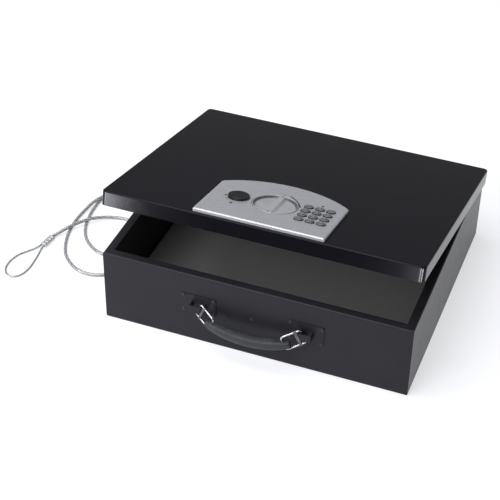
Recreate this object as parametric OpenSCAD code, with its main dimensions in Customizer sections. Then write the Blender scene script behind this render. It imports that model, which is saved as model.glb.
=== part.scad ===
// Steel security box for a laptop or documents: a folded case with a hinged pan lid,
// an electronic lock under a moulded bezel, a strap handle and a tether cable.
// Millimetres. +X to the right, -Y to the front, +Z up. The origin lies on the floor,
// under the middle of the case. The lid is drawn ajar; lid parts are written as if it
// were closed and turned by on_lid().

/* [Case] */
// Width of the case over its end panels
case_w = 423; // [360:1:480]
// Depth of the case over its front and back walls
case_d = 367; // [330:1:430]
// Height of the case, floor to rim
case_h = 109; // [100:1:160]
// Thickness of the case's sheet steel
sheet_t = 1.5; // [1:0.1:2]
// Outer radius of the case's folds
fold_r = 2.5; // [2.2:0.1:4]
// Width of the lip folded inwards round the rim
rim_lip = 12; // [10:0.5:14]
// Thickness of the felt pad on the floor
liner_t = 3; // [2:0.5:6]
// Gap between the felt pad and the walls
liner_gap = 2; // [1:0.5:5]

/* [Lid] */
// Thickness of the lid's sheet steel
lid_t = 1.2; // [1:0.1:2]
// Height of the lid's outer skirt
lid_skirt = 20.5; // [18:0.5:21]
// Gap between the skirt and the case at each side
lid_side_gap = 2; // [1.5:0.1:4]
// Gap between the skirt and the case at the front
lid_front_gap = 1.6; // [1.3:0.1:4]
// Gap between the rim and the closed lid
lid_seat_gap = 0.3; // [0.2:0.1:1]
// Outer corner radius of the lid, seen from above
lid_corner_r = 7; // [4:0.5:7]
// Outer radius of the lid's top fold
lid_fold_r = 2.2; // [2:0.1:3]
// Angle at which the lid stands open
lid_open = 14; // [0:1:60]

/* [Hinge] */
// Diameter of the hinge pin
hinge_pin_d = 3.6; // [3:0.1:4]
// Thickness of the hinge leaves
leaf_t = 1.2; // [1:0.05:1.25]
// Length of the hinge barrel
hinge_len = 390; // [200:5:400]
// Number of knuckles, an odd number
knuckle_n = 13; // [7:2:15]
// Gap between neighbouring knuckles
knuckle_gap = 0.4; // [0.3:0.1:1]
// Depth of the hinge pin below the rim
hinge_drop = 22.4; // [22.2:0.1:26]
// Width of the leaf on the case, below the pin
case_leaf_h = 24; // [15:1:35]

/* [Handle] */
// Middle of the handle, across
handle_x = -1; // [-20:0.5:20]
// Distance from the middle of the box to each lug
lug_x = 72.5; // [66:0.5:90]
// Height of the lugs above the floor
lug_z = 61; // [50:1:75]
// Distance of the rings' outer bars from the front wall
ring_out = 5.6; // [5.2:0.1:7]
// Diameter of the ring wire
wire_d = 2.6; // [2.5:0.1:3.4]
// Height of a ring between wire centres
ring_h = 22; // [20:0.1:26]
// Length of a ring between wire centres
ring_len = 28; // [24:0.5:32]
// Angle at which the rings droop
ring_droop = 21.4; // [15:0.2:25]
// Angle at which the rings stand out from the wall
ring_splay = 28.3; // [24:0.2:32]
// Forward lean of the hanging handle
ring_lean = 9; // [6:0.5:11]
// Diameter of the grip at its ends
grip_end_d = 9; // [8:0.2:12]
// Diameter of the grip at its middle
grip_mid_d = 14.2; // [13:0.2:20]
// How far the grip bows away from its rings
grip_bow = 6.6; // [3:0.1:9]
// How far the grip lies below the middle of its rings
grip_low = 1.5; // [0:0.1:3]
// Width of the sprung strip through the grip
strip_w = 13.4; // [10:0.2:14]
// Distance of the rivets from the lug, across
rivet_dx = 21; // [19:0.5:24]
// Distance between the upper and the lower rivets
rivet_dz = 24; // [20:0.5:28]
// Diameter of a rivet's head
rivet_head_d = 5; // [4:0.2:6]
// Thickness of the handle's bracket plates
bracket_t = 1; // [0.8:0.1:1.2]

/* [Lock] */
// Middle of the lock bezel, across
bezel_x = -2.5; // [-20:0.5:20]
// Width of the bezel
bezel_w = 175; // [170:1:200]
// Distance of the bezel's front edge from the lid's front edge
bezel_edge = 2.6; // [2.5:0.1:8]
// Depth of the bezel from its front edge to the top of its arched back
bezel_d = 138; // [134:1:144]
// Radius of the arched back
bezel_arc_r = 134; // [125:1:150]
// Corner radius of the bezel
bezel_corner_r = 7; // [4:0.5:12]
// Height of the bezel above the lid
bezel_h = 5.2; // [4.8:0.1:7]
// Wall thickness of the bezel
bezel_wall = 2; // [1.6:0.1:2.4]
// Distance of the knob from the bezel's front edge
knob_from_front = 66.7; // [60:0.5:72]
// Diameter of the knob
knob_d = 60; // [50:1:62]
// Height of the knob's rim above the bezel
knob_proud = 0.5; // [0.4:0.1:4]
// Width of the knob's grip bar
knob_bar_w = 6.5; // [5:0.5:12]
// Diameter of the knob's spindle
spindle_d = 8; // [6:0.5:9]
// Throw of the crank pin from the spindle's axis
crank_r = 7; // [6:0.1:8]
// Diameter of the crank pin
crank_pin_d = 5; // [4:0.1:5.5]
// Distance of each bolt from the spindle's axis, across
bolt_dx = 45; // [38:0.5:48]
// Width of a bolt
bolt_w = 16; // [10:0.5:18]
// Thickness of a bolt
bolt_t = 6; // [4:0.5:6]
// Depth of the lock housing under the lid
housing_h = 24; // [23.5:0.5:30]

/* [Keypad] */
// Distance of the keypad's middle from the bezel's middle
pad_dx = 55.3; // [52:0.5:56]
// Distance of the keypad's middle from the bezel's front edge
pad_from_front = 60.6; // [56:0.2:64]
// Distance between columns of keys
key_pitch_x = 14.8; // [14.5:0.1:16]
// Distance between rows of keys
key_pitch_y = 14.45; // [12:0.1:15]
// Length of an oval key
key_l = 12.6; // [11:0.1:13]
// Width of an oval key
key_w = 9; // [7:0.1:10]
// Height of a key above the bezel
key_proud = 2.4; // [1.2:0.1:4]
// Travel of a key
key_travel = 0.8; // [0.4:0.1:0.9]
// Distance of the status lamp from the keypad's middle
led_dy = 34.4; // [32:0.1:37]
// Diameter of the status lamp
led_d = 3; // [2:0.5:5]
// Distance of the override lock from the bezel's middle
cover_dx = 49; // [46:0.5:56]
// Diameter of the override lock's cover
cover_d = 28.6; // [27:0.2:34]
// Height of the cover above the bezel
cover_proud = 2.8; // [1:0.1:4]

/* [Cable] */
// Diameter of the coated cable
cable_d = 5; // [4:0.1:5.2]
// Diameter of the bare wire rope in the eye
rope_d = 3; // [2:0.1:3.2]
// Height of the cable's exit above the floor
exit_z = 20; // [16:1:26]
// Distance of the cable's exit behind the middle of the case
exit_y = 120; // [100:1:140]

/* [Hidden] */
$fn = 48;
e = 0.01;
fit = 0.05;          // radial clearance of a shaft in its bore
clear = 0.3;         // clearance between pieces that pass each other
screw_r = 2;
post_r = screw_r + 2;
head_r = 3.6;                           // head of a lock screw
head_t = 2;

half_w = case_w / 2;
half_d = case_d / 2;
inner_w = case_w - 2 * sheet_t;
rim_open_d = case_d - 2 * rim_lip;

knuckle_r = hinge_pin_d / 2 + fit + leaf_t;
hinge_y = half_d + knuckle_r + clear;
hinge_z = case_h - hinge_drop;
knuckle_pitch = (hinge_len + knuckle_gap) / knuckle_n;
knuckle_l = knuckle_pitch - knuckle_gap;

lid_under = case_h + lid_seat_gap;
lid_top = lid_under + lid_t;
lid_w = case_w + 2 * (lid_side_gap + lid_t);
lid_front = -half_d - lid_front_gap - lid_t;
lid_back_in = hinge_y + 0.9;
lid_back = lid_back_in + lid_t;
lid_d = lid_back - lid_front;
lid_mid_y = (lid_back + lid_front) / 2;
skirt_z = lid_top - lid_skirt;

rivet_shank_r = 1.6;
rivet_dome = 1.2;
plate_x = 1.5;                          // middle of a bracket plate beyond the lug
plate_z = 1.5;                          // and above it
lug_half = 5.4;
lug_t = 1.2;
lug_over = 4.6;                         // clear depth in front of the ring's bar
lug_wide = 11;
plate_corner_r = 2.5;
plate_edge = 0.6;                       // plate beyond the rivets' heads
lug_slip = 0.9;                         // slip of the bar beside the lug's inner leg
band_at = 8.2;
band_w = 4;
slant = tan(ring_droop);
plate_dx = rivet_dx + rivet_head_d / 2 + plate_edge;
plate_dz = rivet_dz / 2 + rivet_head_d / 2 + plate_edge;
bar_r = wire_d / 2;
bend_r = 4;                             // centre-line radius of the ring's corners
strip_t = 1.4;
loop_r = bar_r + fit + 1.2;             // outer radius of the strip's loop round a bar
// Middle of a ring's inner bar in the handle's frame: across, out from the lug, below it
eye_x = lug_x - ring_len * cos(ring_splay) * cos(ring_droop);
eye_out = ring_len * sin(ring_splay);
eye_drop = ring_len * cos(ring_splay) * sin(ring_droop);
bow_turn = 46.6;                        // direction of the bow below the horizontal
grip_over = 8.5;                        // length of the grip beyond a ring's inner bar

bezel_front = lid_front + bezel_edge;
bezel_back = bezel_front + bezel_d;
bezel_top = lid_top + bezel_h;
bezel_under = bezel_top - bezel_wall;
bezel_edge_r = 1.2;
knob_y = bezel_front + knob_from_front;
well_floor = lid_top + 1;
knob_z = well_floor + clear;
knob_top = bezel_top + knob_proud;
well_r = knob_d / 2 + 0.6;
knob_edge_r = 0.8;
knob_rim_w = 2.6;
knob_floor_t = 0.9;
dimple_r = 1.4;
dimple_deep = 0.6;
scoop_r = 13;
scoop_up = 6;                           // height of a scoop's axis above the knob
pad_x = bezel_x + pad_dx;
pad_y = bezel_front + pad_from_front;
pad_over = 5.5;                         // window beyond the outer columns' middles
pad_w = 2 * (key_pitch_x + pad_over);
led_y = pad_y + led_dy;
window_back = led_y + 5;
window_front = pad_y - 1.5 * key_pitch_y - key_w / 2 - 4;
cover_x = bezel_x - cover_dx;
cover_y = knob_y - 2.5;
cover_sunk = 1;
cover_skirt = 2.5;
cover_floor = bezel_top - cover_sunk - cover_skirt - 0.3;

bush_l = 3.2;
bush_r = spindle_d / 2 + 4;
cam_r = 18;
cam_t = 4;
cam_top = lid_under - 3.6;
cam_z = cam_top - cam_t;
carriage_t = 3;
carriage_top = cam_z - 2.6;
carriage_z = carriage_top - carriage_t;
bolt_z = carriage_top;
strike_t = 1.5;
strike_over = 20;                       // reach of the strike beyond a bolt's middle
strike_tail_w = 20;
window_gap = 0.8;                       // gap round a bolt in its window
strike_leg_y = -half_d + rim_lip + 1.6; // rear face of the strike's hanging leg
bolt_tip = strike_leg_y + 0.9;          // front end of the drawn bolts
bar_ahead = 29;                         // reach of the crossbar in front of the spindle
bar_d = 12;
bar_front = knob_y - bar_ahead;
bar_back = bar_front + bar_d;
bar_over = 10;                          // reach of the crossbar beyond a bolt's middle
tongue_w = 28;
tongue_over = 9;                        // tongue behind the middle of the slot
slot_y = knob_y + crank_r * sin(45);
slot_w = crank_pin_d + 0.8;
housing_ahead = 45;
housing_behind = 57;
housing_front = knob_y - housing_ahead;
housing_back = knob_y + housing_behind;
housing_w = 172;
housing_t = 2;
rib_x = 30;                             // ribs that the carriage slides on
rib_w = 4;
housing_z = lid_under - housing_h;
housing_floor = housing_z + housing_t;
screw_dx = 81;
screw_dy = [-33, 21];

plunger_r = 1.8;
plunger_z = (cam_z + cam_top) / 2;
plunger_tip = knob_y + cam_r + 0.4;     // tip of the plunger when it is pulled in
notch_depth = 4.5;
sol_l = 24;
sol_w = 18;
sol_low = 6;                            // depth of the coil below the plunger's axis
plunger_l = 18;
plug_r = 5.5;
cylinder_r = 9;
lever_l = 18;
lever_w = 8;
lever_t = 3;
keyway_w = 1.8;
keyway_l = 7;
keyway_deep = 9;
key_flange = 1;
key_flange_over = 0.7;                  // reach of the flange beyond the cap
key_crown_r = 26;
key_stem_r = 2.5;
key_hole_gap = 0.3;
board_t = 1.6;
board_over = 4;                         // board beyond the window, front and back
mat_t = 0.7;
stem_z = lid_under + mat_t + key_travel + 0.2;
cell_d = 14.2;
cell_l = 50.5;
cell_n = 4;
button_r = 2.7;                         // raised contact of a cell
button_h = 1.6;
cell_pitch = cell_d + 0.3;
tray_t = 1.2;
tray_x = bezel_x + 18;
tray_l = cell_l + 1 + 2 * tray_t;
tray_back = housing_back - housing_t - 0.5;
tray_front = tray_back - cell_n * cell_pitch - 2 * tray_t;
door_t = 1.6;
door_l = tray_l - 10;
door_front = tray_front + 3;
door_back = tray_back - 3;
rail_w = 3;
rail_t = 1.6;                           // thickness of a rail's lip under the door

cable_r = cable_d / 2;
wire_z = cable_r + 0.1;
over_z = wire_z + cable_d + 0.2;        // height of a strand that crosses another
grommet_r = cable_r + 2;
flange_t = 1.6;                         // thickness of the bush's flanges
flange_over = 2.5;
stop_t = 1.5;
stop_l = 12;
ferrule_l = 23;

// The cable's way from the wall: down to the floor, twice round in loose turns and out
// across them to the ferrule. x, y, z of the cable's centre.
cable_path = [
    [-half_w - 2, exit_y, exit_z], [-half_w - 16, exit_y, exit_z - 1], [-242, 120, 14],
    [-256, 119, 7.5], [-270, 117, 3.4], [-285, 112, wire_z], [-300, 104, wire_z],
    [-314, 92, wire_z], [-325, 76, wire_z], [-331, 58, wire_z], [-332.5, 42, wire_z],
    [-332, 26, wire_z], [-330, 9, wire_z], [-325, -13, wire_z], [-317, -32, wire_z],
    [-306, -47, wire_z], [-292, -58.5, wire_z], [-277, -65, wire_z], [-262, -64.5, wire_z],
    [-247, -57, wire_z], [-236, -44, wire_z], [-229, -27, wire_z], [-225, -7, wire_z],
    [-224, 14, wire_z], [-226, 34, wire_z], [-232, 53, wire_z], [-243, 69, wire_z],
    [-258, 80, wire_z], [-275, 85, wire_z], [-292, 84, wire_z], [-308, 77, 4.5],
    [-321, 66, 6.8], [-331, 51, over_z], [-338, 34, 6.6], [-342, 16, 4], [-344, -4, wire_z],
    [-342.5, -25, wire_z], [-338.5, -46, wire_z], [-331.5, -67, wire_z],
    [-321.5, -86, wire_z], [-309, -99.5, wire_z], [-294, -109.5, wire_z],
    [-277, -114, wire_z], [-260, -112, wire_z], [-246, -104, wire_z], [-234, -91, wire_z],
    [-225, -74, wire_z], [-220.5, -55, 4.5], [-222, -37, 7], [-228, -21, over_z],
    [-237, -5, 6.4], [-249, 9, 3.6], [-263, 18, wire_z], [-278, 21.5, wire_z],
    [-293, 18.5, 3.4], [-308, 10, 5.6], [-324, -4.5, over_z], [-335, -19, over_z],
    [-344, -35, over_z], [-351, -46.5, 5.8], [-356.4, -54.6, 3.9], [-357, -58, 3.9]
];
// The bare eye beyond the ferrule, from one side of its end to the other.
eye_path = [
    [-363.6, -80.3, 3.9], [-364.1, -83.3, 3.9], [-368, -89.5, 2.8], [-375, -98, 1.8],
    [-382.5, -108.5, 1.7], [-387, -121, 1.7], [-388, -134, 1.7], [-385.5, -146, 1.7],
    [-379.5, -154.5, 1.7], [-371.5, -158.2, 1.7], [-363.5, -155, 1.7], [-357.8, -146, 1.7],
    [-355.5, -133, 1.7], [-356, -118, 1.7], [-357.5, -103, 1.8], [-358.7, -93, 2.6],
    [-358.9, -84.2, 3.9], [-358.4, -81.2, 3.9]
];

black_paint = [0.13, 0.13, 0.14];
silver = [0.66, 0.67, 0.69];
steel = [0.7, 0.7, 0.71];
dark_plastic = [0.12, 0.13, 0.14];

// ---- shared shapes ----

// Turns a closed-lid shape about the hinge to the angle at which the lid stands.
module on_lid() {
    translate([0, hinge_y, hinge_z]) rotate([-lid_open, 0, 0])
        translate([0, -hinge_y, -hinge_z]) children();
}

// Rectangle about the origin with corner arcs of radius r.
module round_rect(w, d, r) {
    square([w - 2 * r, d], center = true);
    square([w, d - 2 * r], center = true);
    for (x = [-1, 1], y = [-1, 1])
        translate([x * (w / 2 - r), y * (d / 2 - r)]) circle(r);
}

// Box between two opposite corners.
module span(a, b) {
    translate(a) cube(b - a);
}

// Oval with round ends, lying along x.
module oval(l, w) {
    square([l - w, w], center = true);
    for (x = [-1, 1]) translate([x * (l - w) / 2, 0]) circle(w / 2);
}

function unit(v) = v / norm(v);
function tangent(path, i) =
    unit(path[min(i + 1, len(path) - 1)] - path[max(i - 1, 0)]);
// Points of a flat section set square to the path, its second axis as near up as it can be.
function ring_of(path, i, section) =
    let (t = tangent(path, i), side = unit(cross(t, [0, 0, 1])), up = cross(side, t))
    [for (s = section) path[i] + s[0] * side + s[1] * up];

// Solid swept along a path. sections holds one outline for each point of the path.
module sweep(path, sections) {
    n = len(sections[0]);
    m = len(path);
    points = [for (i = [0:m - 1]) each ring_of(path, i, sections[i])];
    sides = [for (i = [0:m - 2], k = [0:n - 1])
        let (a = i * n + k, b = i * n + (k + 1) % n)
        each [[a, b, b + n], [a, b + n, a + n]]];
    first = [for (k = [n - 1:-1:0]) k];
    last = [for (k = [0:n - 1]) (m - 1) * n + k];
    polyhedron(points, concat(sides, [first, last]), convexity = 10);
}

function circle_points(r, n) =
    [for (k = [0:n - 1]) [r * cos(360 * k / n), r * sin(360 * k / n)]];

// ---- case ----

// Section of the case's folded sheet across its depth, with the rim lips left on.
module wrap_section() {
    difference() {
        round_rect(case_d, case_h, fold_r);
        round_rect(case_d - 2 * sheet_t, case_h - 2 * sheet_t, fold_r - sheet_t);
        translate([-rim_open_d / 2, case_h / 2 - sheet_t - e])
            square([rim_open_d, sheet_t + 2 * e]);
    }
}

module rivet_holes() {
    for (x = rivet_xs, z = rivet_zs(x))
        translate([handle_x + x, -half_d, lug_z + z]) rotate([90, 0, 0])
            cylinder(h = 20, r = rivet_shank_r + fit, center = true);
}

// Rivets across the front, from the handle's middle: two by each lug and one between.
rivet_xs = [for (a = [-1, 1], b = [-1, 1]) a * (lug_x + plate_x + b * rivet_dx), 0];
function rivet_zs(x) = x == 0 ? [0] : [for (s = [-1, 1]) plate_z + s * rivet_dz / 2];

// Floor, front and back of the case, one sheet folded like a trough.
module case_wrap() {
    color(black_paint) difference() {
        translate([-inner_w / 2, 0, case_h / 2]) rotate([90, 0, 90])
            linear_extrude(inner_w) wrap_section();
        rivet_holes();
    }
}

// Flat end panel closing the trough, with its own lip folded inwards along the rim.
module end_panel(side) {
    mirror([side > 0 ? 0 : 1, 0, 0]) {
        difference() {
            translate([half_w - sheet_t, 0, case_h / 2]) rotate([90, 0, 90])
                linear_extrude(sheet_t) round_rect(case_d, case_h, fold_r);
            span([half_w - sheet_t - e, -rim_open_d / 2, case_h - fold_r],
                [half_w + e, rim_open_d / 2, case_h + e]);
        }
        translate([0, rim_open_d / 2, 0]) rotate([90, 0, 0]) linear_extrude(rim_open_d)
            translate([half_w, case_h]) lip_section();
    }
}

// Section of the lip: a quarter fold from the panel, then flat. Origin at the outer corner.
module lip_section() {
    translate([-rim_lip, -sheet_t]) square([rim_lip - fold_r, sheet_t]);
    intersection() {
        translate([-fold_r, -fold_r]) difference() {
            circle(fold_r);
            circle(fold_r - sheet_t);
        }
        translate([-fold_r, -fold_r]) square(fold_r);
    }
}

module left_end() {
    color(black_paint) difference() {
        end_panel(-1);
        translate([-half_w, exit_y, exit_z]) rotate([0, 90, 0])
            cylinder(h = 20, r = grommet_r, center = true);
    }
}

module right_end() {
    color(black_paint) end_panel(1);
}

// Folded keeper welded under the front lip: its hanging leg has a window for each bolt,
// and its long tail down the front wall is held by the middle rivet.
module strike_plate() {
    wall = -half_d + sheet_t;
    top = case_h - sheet_t;
    leg_y = strike_leg_y - strike_t;
    half = bolt_dx + strike_over;
    soft = fold_r - sheet_t + fit;
    color(black_paint) difference() {
        union() {
            span([bezel_x - half, wall, top - strike_t],
                [bezel_x + half, strike_leg_y, top]);
            span([bezel_x - half, leg_y, bolt_z - 4],
                [bezel_x + half, strike_leg_y, top - strike_t]);
            span([handle_x - strike_tail_w / 2, wall, lug_z - 8],
                [handle_x + strike_tail_w / 2, wall + strike_t, top - strike_t]);
        }
        translate([0, wall, top]) rotate([0, 90, 0]) difference() {
            cube([2 * soft, 2 * soft, case_w], center = true);
            translate([soft, soft, 0]) cylinder(h = case_w + 2, r = soft, center = true);
        }
        for (x = [-1, 1])
            span([bezel_x + x * bolt_dx - bolt_w / 2 - window_gap, leg_y - 1,
                    bolt_z - window_gap],
                [bezel_x + x * bolt_dx + bolt_w / 2 + window_gap, strike_leg_y + 1,
                    bolt_z + bolt_t + window_gap]);
        rivet_holes();
    }
}

// Felt pad that the contents lie on.
module floor_liner() {
    color([0.28, 0.28, 0.28]) translate([0, 0, sheet_t]) linear_extrude(liner_t)
        round_rect(inner_w - 2 * liner_gap, case_d - 2 * (sheet_t + liner_gap), 6);
}

// ---- hinge ----

// Centres of every second knuckle: from = 0 for the case's, 1 for the lid's.
function knuckle_xs(from) =
    [for (i = [from:2:knuckle_n - 1]) (i - (knuckle_n - 1) / 2) * knuckle_pitch];

module knuckle(x) {
    translate([x, hinge_y, hinge_z]) rotate([0, 90, 0]) difference() {
        cylinder(h = knuckle_l, r = knuckle_r, center = true);
        cylinder(h = knuckle_l + 1, r = hinge_pin_d / 2 + fit, center = true);
    }
}

module case_leaf() {
    low = hinge_z - case_leaf_h;
    color(steel) {
        span([-hinge_len / 2, half_d, low],
            [hinge_len / 2, half_d + leaf_t, hinge_z - knuckle_r - 0.4]);
        for (x = knuckle_xs(0)) {
            knuckle(x);
            span([x - knuckle_l / 2, half_d, hinge_z - knuckle_r - 0.5],
                [x + knuckle_l / 2, half_d + leaf_t, hinge_z]);
        }
    }
}

// Pin with both ends peened over.
module hinge_pin() {
    color(steel) translate([0, hinge_y, hinge_z]) rotate([0, 90, 0]) {
        cylinder(h = hinge_len + 1, r = hinge_pin_d / 2, center = true);
        for (s = [-1, 1]) translate([0, 0, s * (hinge_len / 2 + 0.9)])
            cylinder(h = 1, r = hinge_pin_d / 2 + 0.7, center = true);
    }
}

module lid_leaf() {
    color(steel) on_lid() {
        span([-hinge_len / 2, lid_back_in - leaf_t, hinge_z + knuckle_r + 0.4],
            [hinge_len / 2, lid_back_in, lid_under - 3]);
        for (x = knuckle_xs(1)) {
            knuckle(x);
            span([x - knuckle_l / 2, lid_back_in - leaf_t, hinge_z + knuckle_r - 0.8],
                [x + knuckle_l / 2, lid_back_in, hinge_z + knuckle_r + 0.5]);
        }
    }
}

// ---- lid ----

// Section of the lid's edge: skirt, quarter fold and a flat strip back to the centre of
// the corner arc. x runs outwards from that centre, y up from the skirt's lower edge.
module skirt_section() {
    translate([lid_corner_r - lid_t, 0]) square([lid_t, lid_skirt - lid_fold_r]);
    translate([0, lid_skirt - lid_t]) square([lid_corner_r - lid_fold_r, lid_t]);
    intersection() {
        translate([lid_corner_r - lid_fold_r, lid_skirt - lid_fold_r]) difference() {
            circle(lid_fold_r);
            circle(lid_fold_r - lid_t);
        }
        translate([lid_corner_r - lid_fold_r, lid_skirt - lid_fold_r]) square(lid_fold_r);
    }
}

module lid_edge(length) {
    rotate([90, 0, 0]) linear_extrude(length, center = true) skirt_section();
}

// Drawn steel pan: flat top, skirt all round, holes under the bezel.
module lid_shell() {
    in_x = lid_w / 2 - lid_corner_r;
    in_y = lid_d / 2 - lid_corner_r;
    color(black_paint) on_lid() difference() {
        translate([0, lid_mid_y, skirt_z]) {
            for (s = [0, 1]) {
                rotate([0, 0, 180 * s]) translate([in_x, 0, 0]) lid_edge(2 * in_y);
                rotate([0, 0, 90 + 180 * s]) translate([in_y, 0, 0]) lid_edge(2 * in_x);
            }
            for (q = [0:3]) {
                corner = [[in_x, in_y], [-in_x, in_y], [-in_x, -in_y], [in_x, -in_y]][q];
                translate([corner[0], corner[1], 0]) rotate([0, 0, 90 * q])
                    rotate_extrude(angle = 90) skirt_section();
            }
            translate([-in_x, -in_y, lid_skirt - lid_t]) cube([2 * in_x, 2 * in_y, lid_t]);
        }
        translate([bezel_x, knob_y, lid_top]) cylinder(h = 20, r = spindle_d / 2 + 2,
            center = true);
        translate([cover_x, cover_y, lid_top]) cylinder(h = 20, r = cylinder_r + 0.2,
            center = true);
        span([pad_x - pad_w / 2 - 1, window_front - 1, lid_under - 1],
            [pad_x + pad_w / 2 + 1, window_back, lid_top + 1]);
        at_screws() cylinder(h = 40, r = screw_r + 0.2, center = true);
    }
}

module at_screws() {
    for (x = [-screw_dx, screw_dx], y = screw_dy)
        translate([bezel_x + x, knob_y + y, lid_under]) children();
}

// ---- handle ----

// The hanging handle's frame: x across, -y away from the wall, leaned about the lugs.
module on_handle() {
    translate([handle_x, -half_d - ring_out, lug_z]) rotate([ring_lean, 0, 0]) children();
}

// A ring's own frame: its outer bar along z at the origin, its arms along -x.
module on_ring(side) {
    on_handle() mirror([side > 0 ? 0 : 1, 0, 0]) translate([lug_x, 0, 0])
        rotate([0, -ring_droop, 0]) rotate([0, 0, ring_splay]) children();
}

// Riveted plate with a slanted staple that the ring's outer bar hangs in. The staple's
// inner leg goes through the ring, between its bar and its band.
module bracket(side) {
    leg = (bar_r + lug_slip) / cos(ring_droop);
    wide = lug_t / cos(ring_droop);
    reach = ring_out + lug_over;
    // edge of the inner leg at height z, on the bar's side
    function leg_x(z) = lug_x - leg - slant * z;
    outer = lug_x + lug_wide;
    low = plate_z - lug_half;
    top = plate_z + lug_half;
    difference() {
        translate([handle_x, -half_d, lug_z]) mirror([side > 0 ? 0 : 1, 0, 0])
            rotate([90, 0, 0]) {
                linear_extrude(bracket_t) translate([lug_x + plate_x, plate_z])
                    round_rect(2 * plate_dx, 2 * plate_dz, plate_corner_r);
                linear_extrude(reach + lug_t) {
                    polygon([[leg_x(low), low], [leg_x(top), top],
                        [leg_x(top) - wide, top], [leg_x(low) - wide, low]]);
                    polygon([[outer - lug_t, low], [outer, low], [outer, top],
                        [outer - lug_t, top]]);
                }
                translate([0, 0, reach]) linear_extrude(lug_t)
                    polygon([[leg_x(low) - wide, low], [outer, low], [outer, top],
                        [leg_x(top) - wide, top]]);
            }
        rivet_holes();
    }
}

module left_bracket() {
    color(black_paint) bracket(-1);
}

module right_bracket() {
    color(black_paint) bracket(1);
}

// Domed rivets: four through each bracket and one through the strike's tail.
module front_rivets() {
    color(steel) for (x = rivet_xs, z = rivet_zs(x)) {
        face = x == 0 ? 0 : bracket_t;
        back = x == 0 ? sheet_t + strike_t : sheet_t;
        translate([handle_x + x, -half_d, lug_z + z]) rotate([90, 0, 0]) {
            translate([0, 0, -back]) cylinder(h = back + face, r = rivet_shank_r);
            translate([0, 0, face]) rivet_head();
            translate([0, 0, -back - 0.8]) cylinder(h = 0.8, r = rivet_head_d / 2 - 0.4);
        }
    }
}

// Shallow dome, the cap of a sphere.
module rivet_head() {
    r = rivet_head_d / 2;
    ball = (r * r + rivet_dome * rivet_dome) / (2 * rivet_dome);
    intersection() {
        translate([0, 0, rivet_dome - ball]) sphere(ball);
        cylinder(h = rivet_dome + 1, r = r);
    }
}

// Closed ring of round wire, four straight sides and four bent corners.
module wire_ring(side, r) {
    zs = ring_h / 2 - bend_r;
    on_ring(side) translate([-ring_len / 2, 0, 0]) {
        for (s = [-1, 1]) {
            translate([s * ring_len / 2, 0, 0])
                cylinder(h = 2 * zs, r = r, center = true);
            translate([0, 0, s * ring_h / 2]) rotate([0, 90, 0])
                cylinder(h = ring_len - 2 * bend_r, r = r, center = true);
        }
        rotate([90, 0, 0]) for (q = [0:3]) {
            c = [[1, 1], [-1, 1], [-1, -1], [1, -1]][q];
            translate([c[0] * (ring_len / 2 - bend_r), c[1] * zs, 0])
                rotate([0, 0, 90 * q]) rotate_extrude(angle = 90)
                    translate([bend_r, 0]) circle(r, $fn = 24);
        }
    }
}

module left_ring() {
    color(steel) wire_ring(-1, bar_r);
}

module right_ring() {
    color(steel) wire_ring(1, bar_r);
}

// Flat band pinched round both arms of each ring, which keeps it from slipping out.
module ring_bands() {
    thick = wire_d + 1.6;
    color([0.35, 0.35, 0.36]) for (s = [-1, 1]) on_ring(s) translate([-band_at, 0, 0])
        difference() {
            cube([band_w, thick, ring_h + thick], center = true);
            for (z = [-1, 1]) translate([0, 0, z * ring_h / 2]) rotate([0, 90, 0])
                cylinder(h = band_w + 1, r = bar_r + fit, center = true);
        }
}

// Centre line of the strip at x, in the handle's frame: a parabola through the eyes of
// both rings, and the grip's, which lies lower there and meets it in the middle.
function strip_point(x) = let (k = 1 - pow(x / eye_x, 2), sink = max(k, 0) * grip_low)
    [x, -eye_out - grip_bow * cos(bow_turn) * k,
        -eye_drop - grip_bow * sin(bow_turn) * k - sink];
function grip_point(x) = let (k = 1 - pow(x / eye_x, 2))
    [x, -eye_out - grip_bow * cos(bow_turn) * k,
        -eye_drop - grip_bow * sin(bow_turn) * k - grip_low];
// The grip swells quickly from its ends and then stays nearly even.
function grip_r(x) =
    (grip_mid_d - (grip_mid_d - grip_end_d) * pow(abs(x) / (eye_x + grip_over), 4)) / 2;

// Sprung strip inside the grip, looped round the inner bar of each ring.
module strip_shape(grow) {
    reach = eye_x - bar_r - fit - 0.6;
    steps = 16;
    path = [for (i = [0:steps]) strip_point(reach * (2 * i / steps - 1))];
    u = strip_t / 2 + grow;
    v = strip_w / 2 + grow;
    on_handle() sweep(path, [for (p = path) [[-u, -v], [u, -v], [u, v], [-u, v]]]);
    for (s = [-1, 1]) on_ring(s) translate([-ring_len, 0, 0])
        cylinder(h = strip_w + 2 * grow, r = loop_r + grow, center = true);
}

module grip_strip() {
    color(dark_plastic) difference() {
        strip_shape(0);
        for (s = [-1, 1]) on_ring(s) translate([-ring_len, 0, 0])
            cylinder(h = 2 * strip_w, r = bar_r + fit, center = true);
    }
}

// Moulded grip, round in section, bowed away from the box.
module handle_grip() {
    steps = 28;
    end = eye_x + grip_over;
    path = [for (i = [0:steps]) grip_point(end * (2 * i / steps - 1))];
    color([0.27, 0.28, 0.29]) difference() {
        on_handle() sweep(path, [for (p = path) circle_points(grip_r(p[0]), 20)]);
        strip_shape(fit);
        for (s = [-1, 1]) wire_ring(s, bar_r + 2 * fit);
    }
}

// ---- tether cable ----

// Flanged rubber bush in the wall, bored for the cable.
module cable_grommet() {
    color(dark_plastic) translate([-half_w, exit_y, exit_z]) rotate([0, 90, 0])
        difference() {
            union() {
                for (z = [-flange_t, sheet_t]) translate([0, 0, z])
                    cylinder(h = flange_t, r = grommet_r + flange_over);
                cylinder(h = sheet_t, r = grommet_r - fit);
            }
            cylinder(h = 30, r = cable_r, center = true);
        }
}

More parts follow.
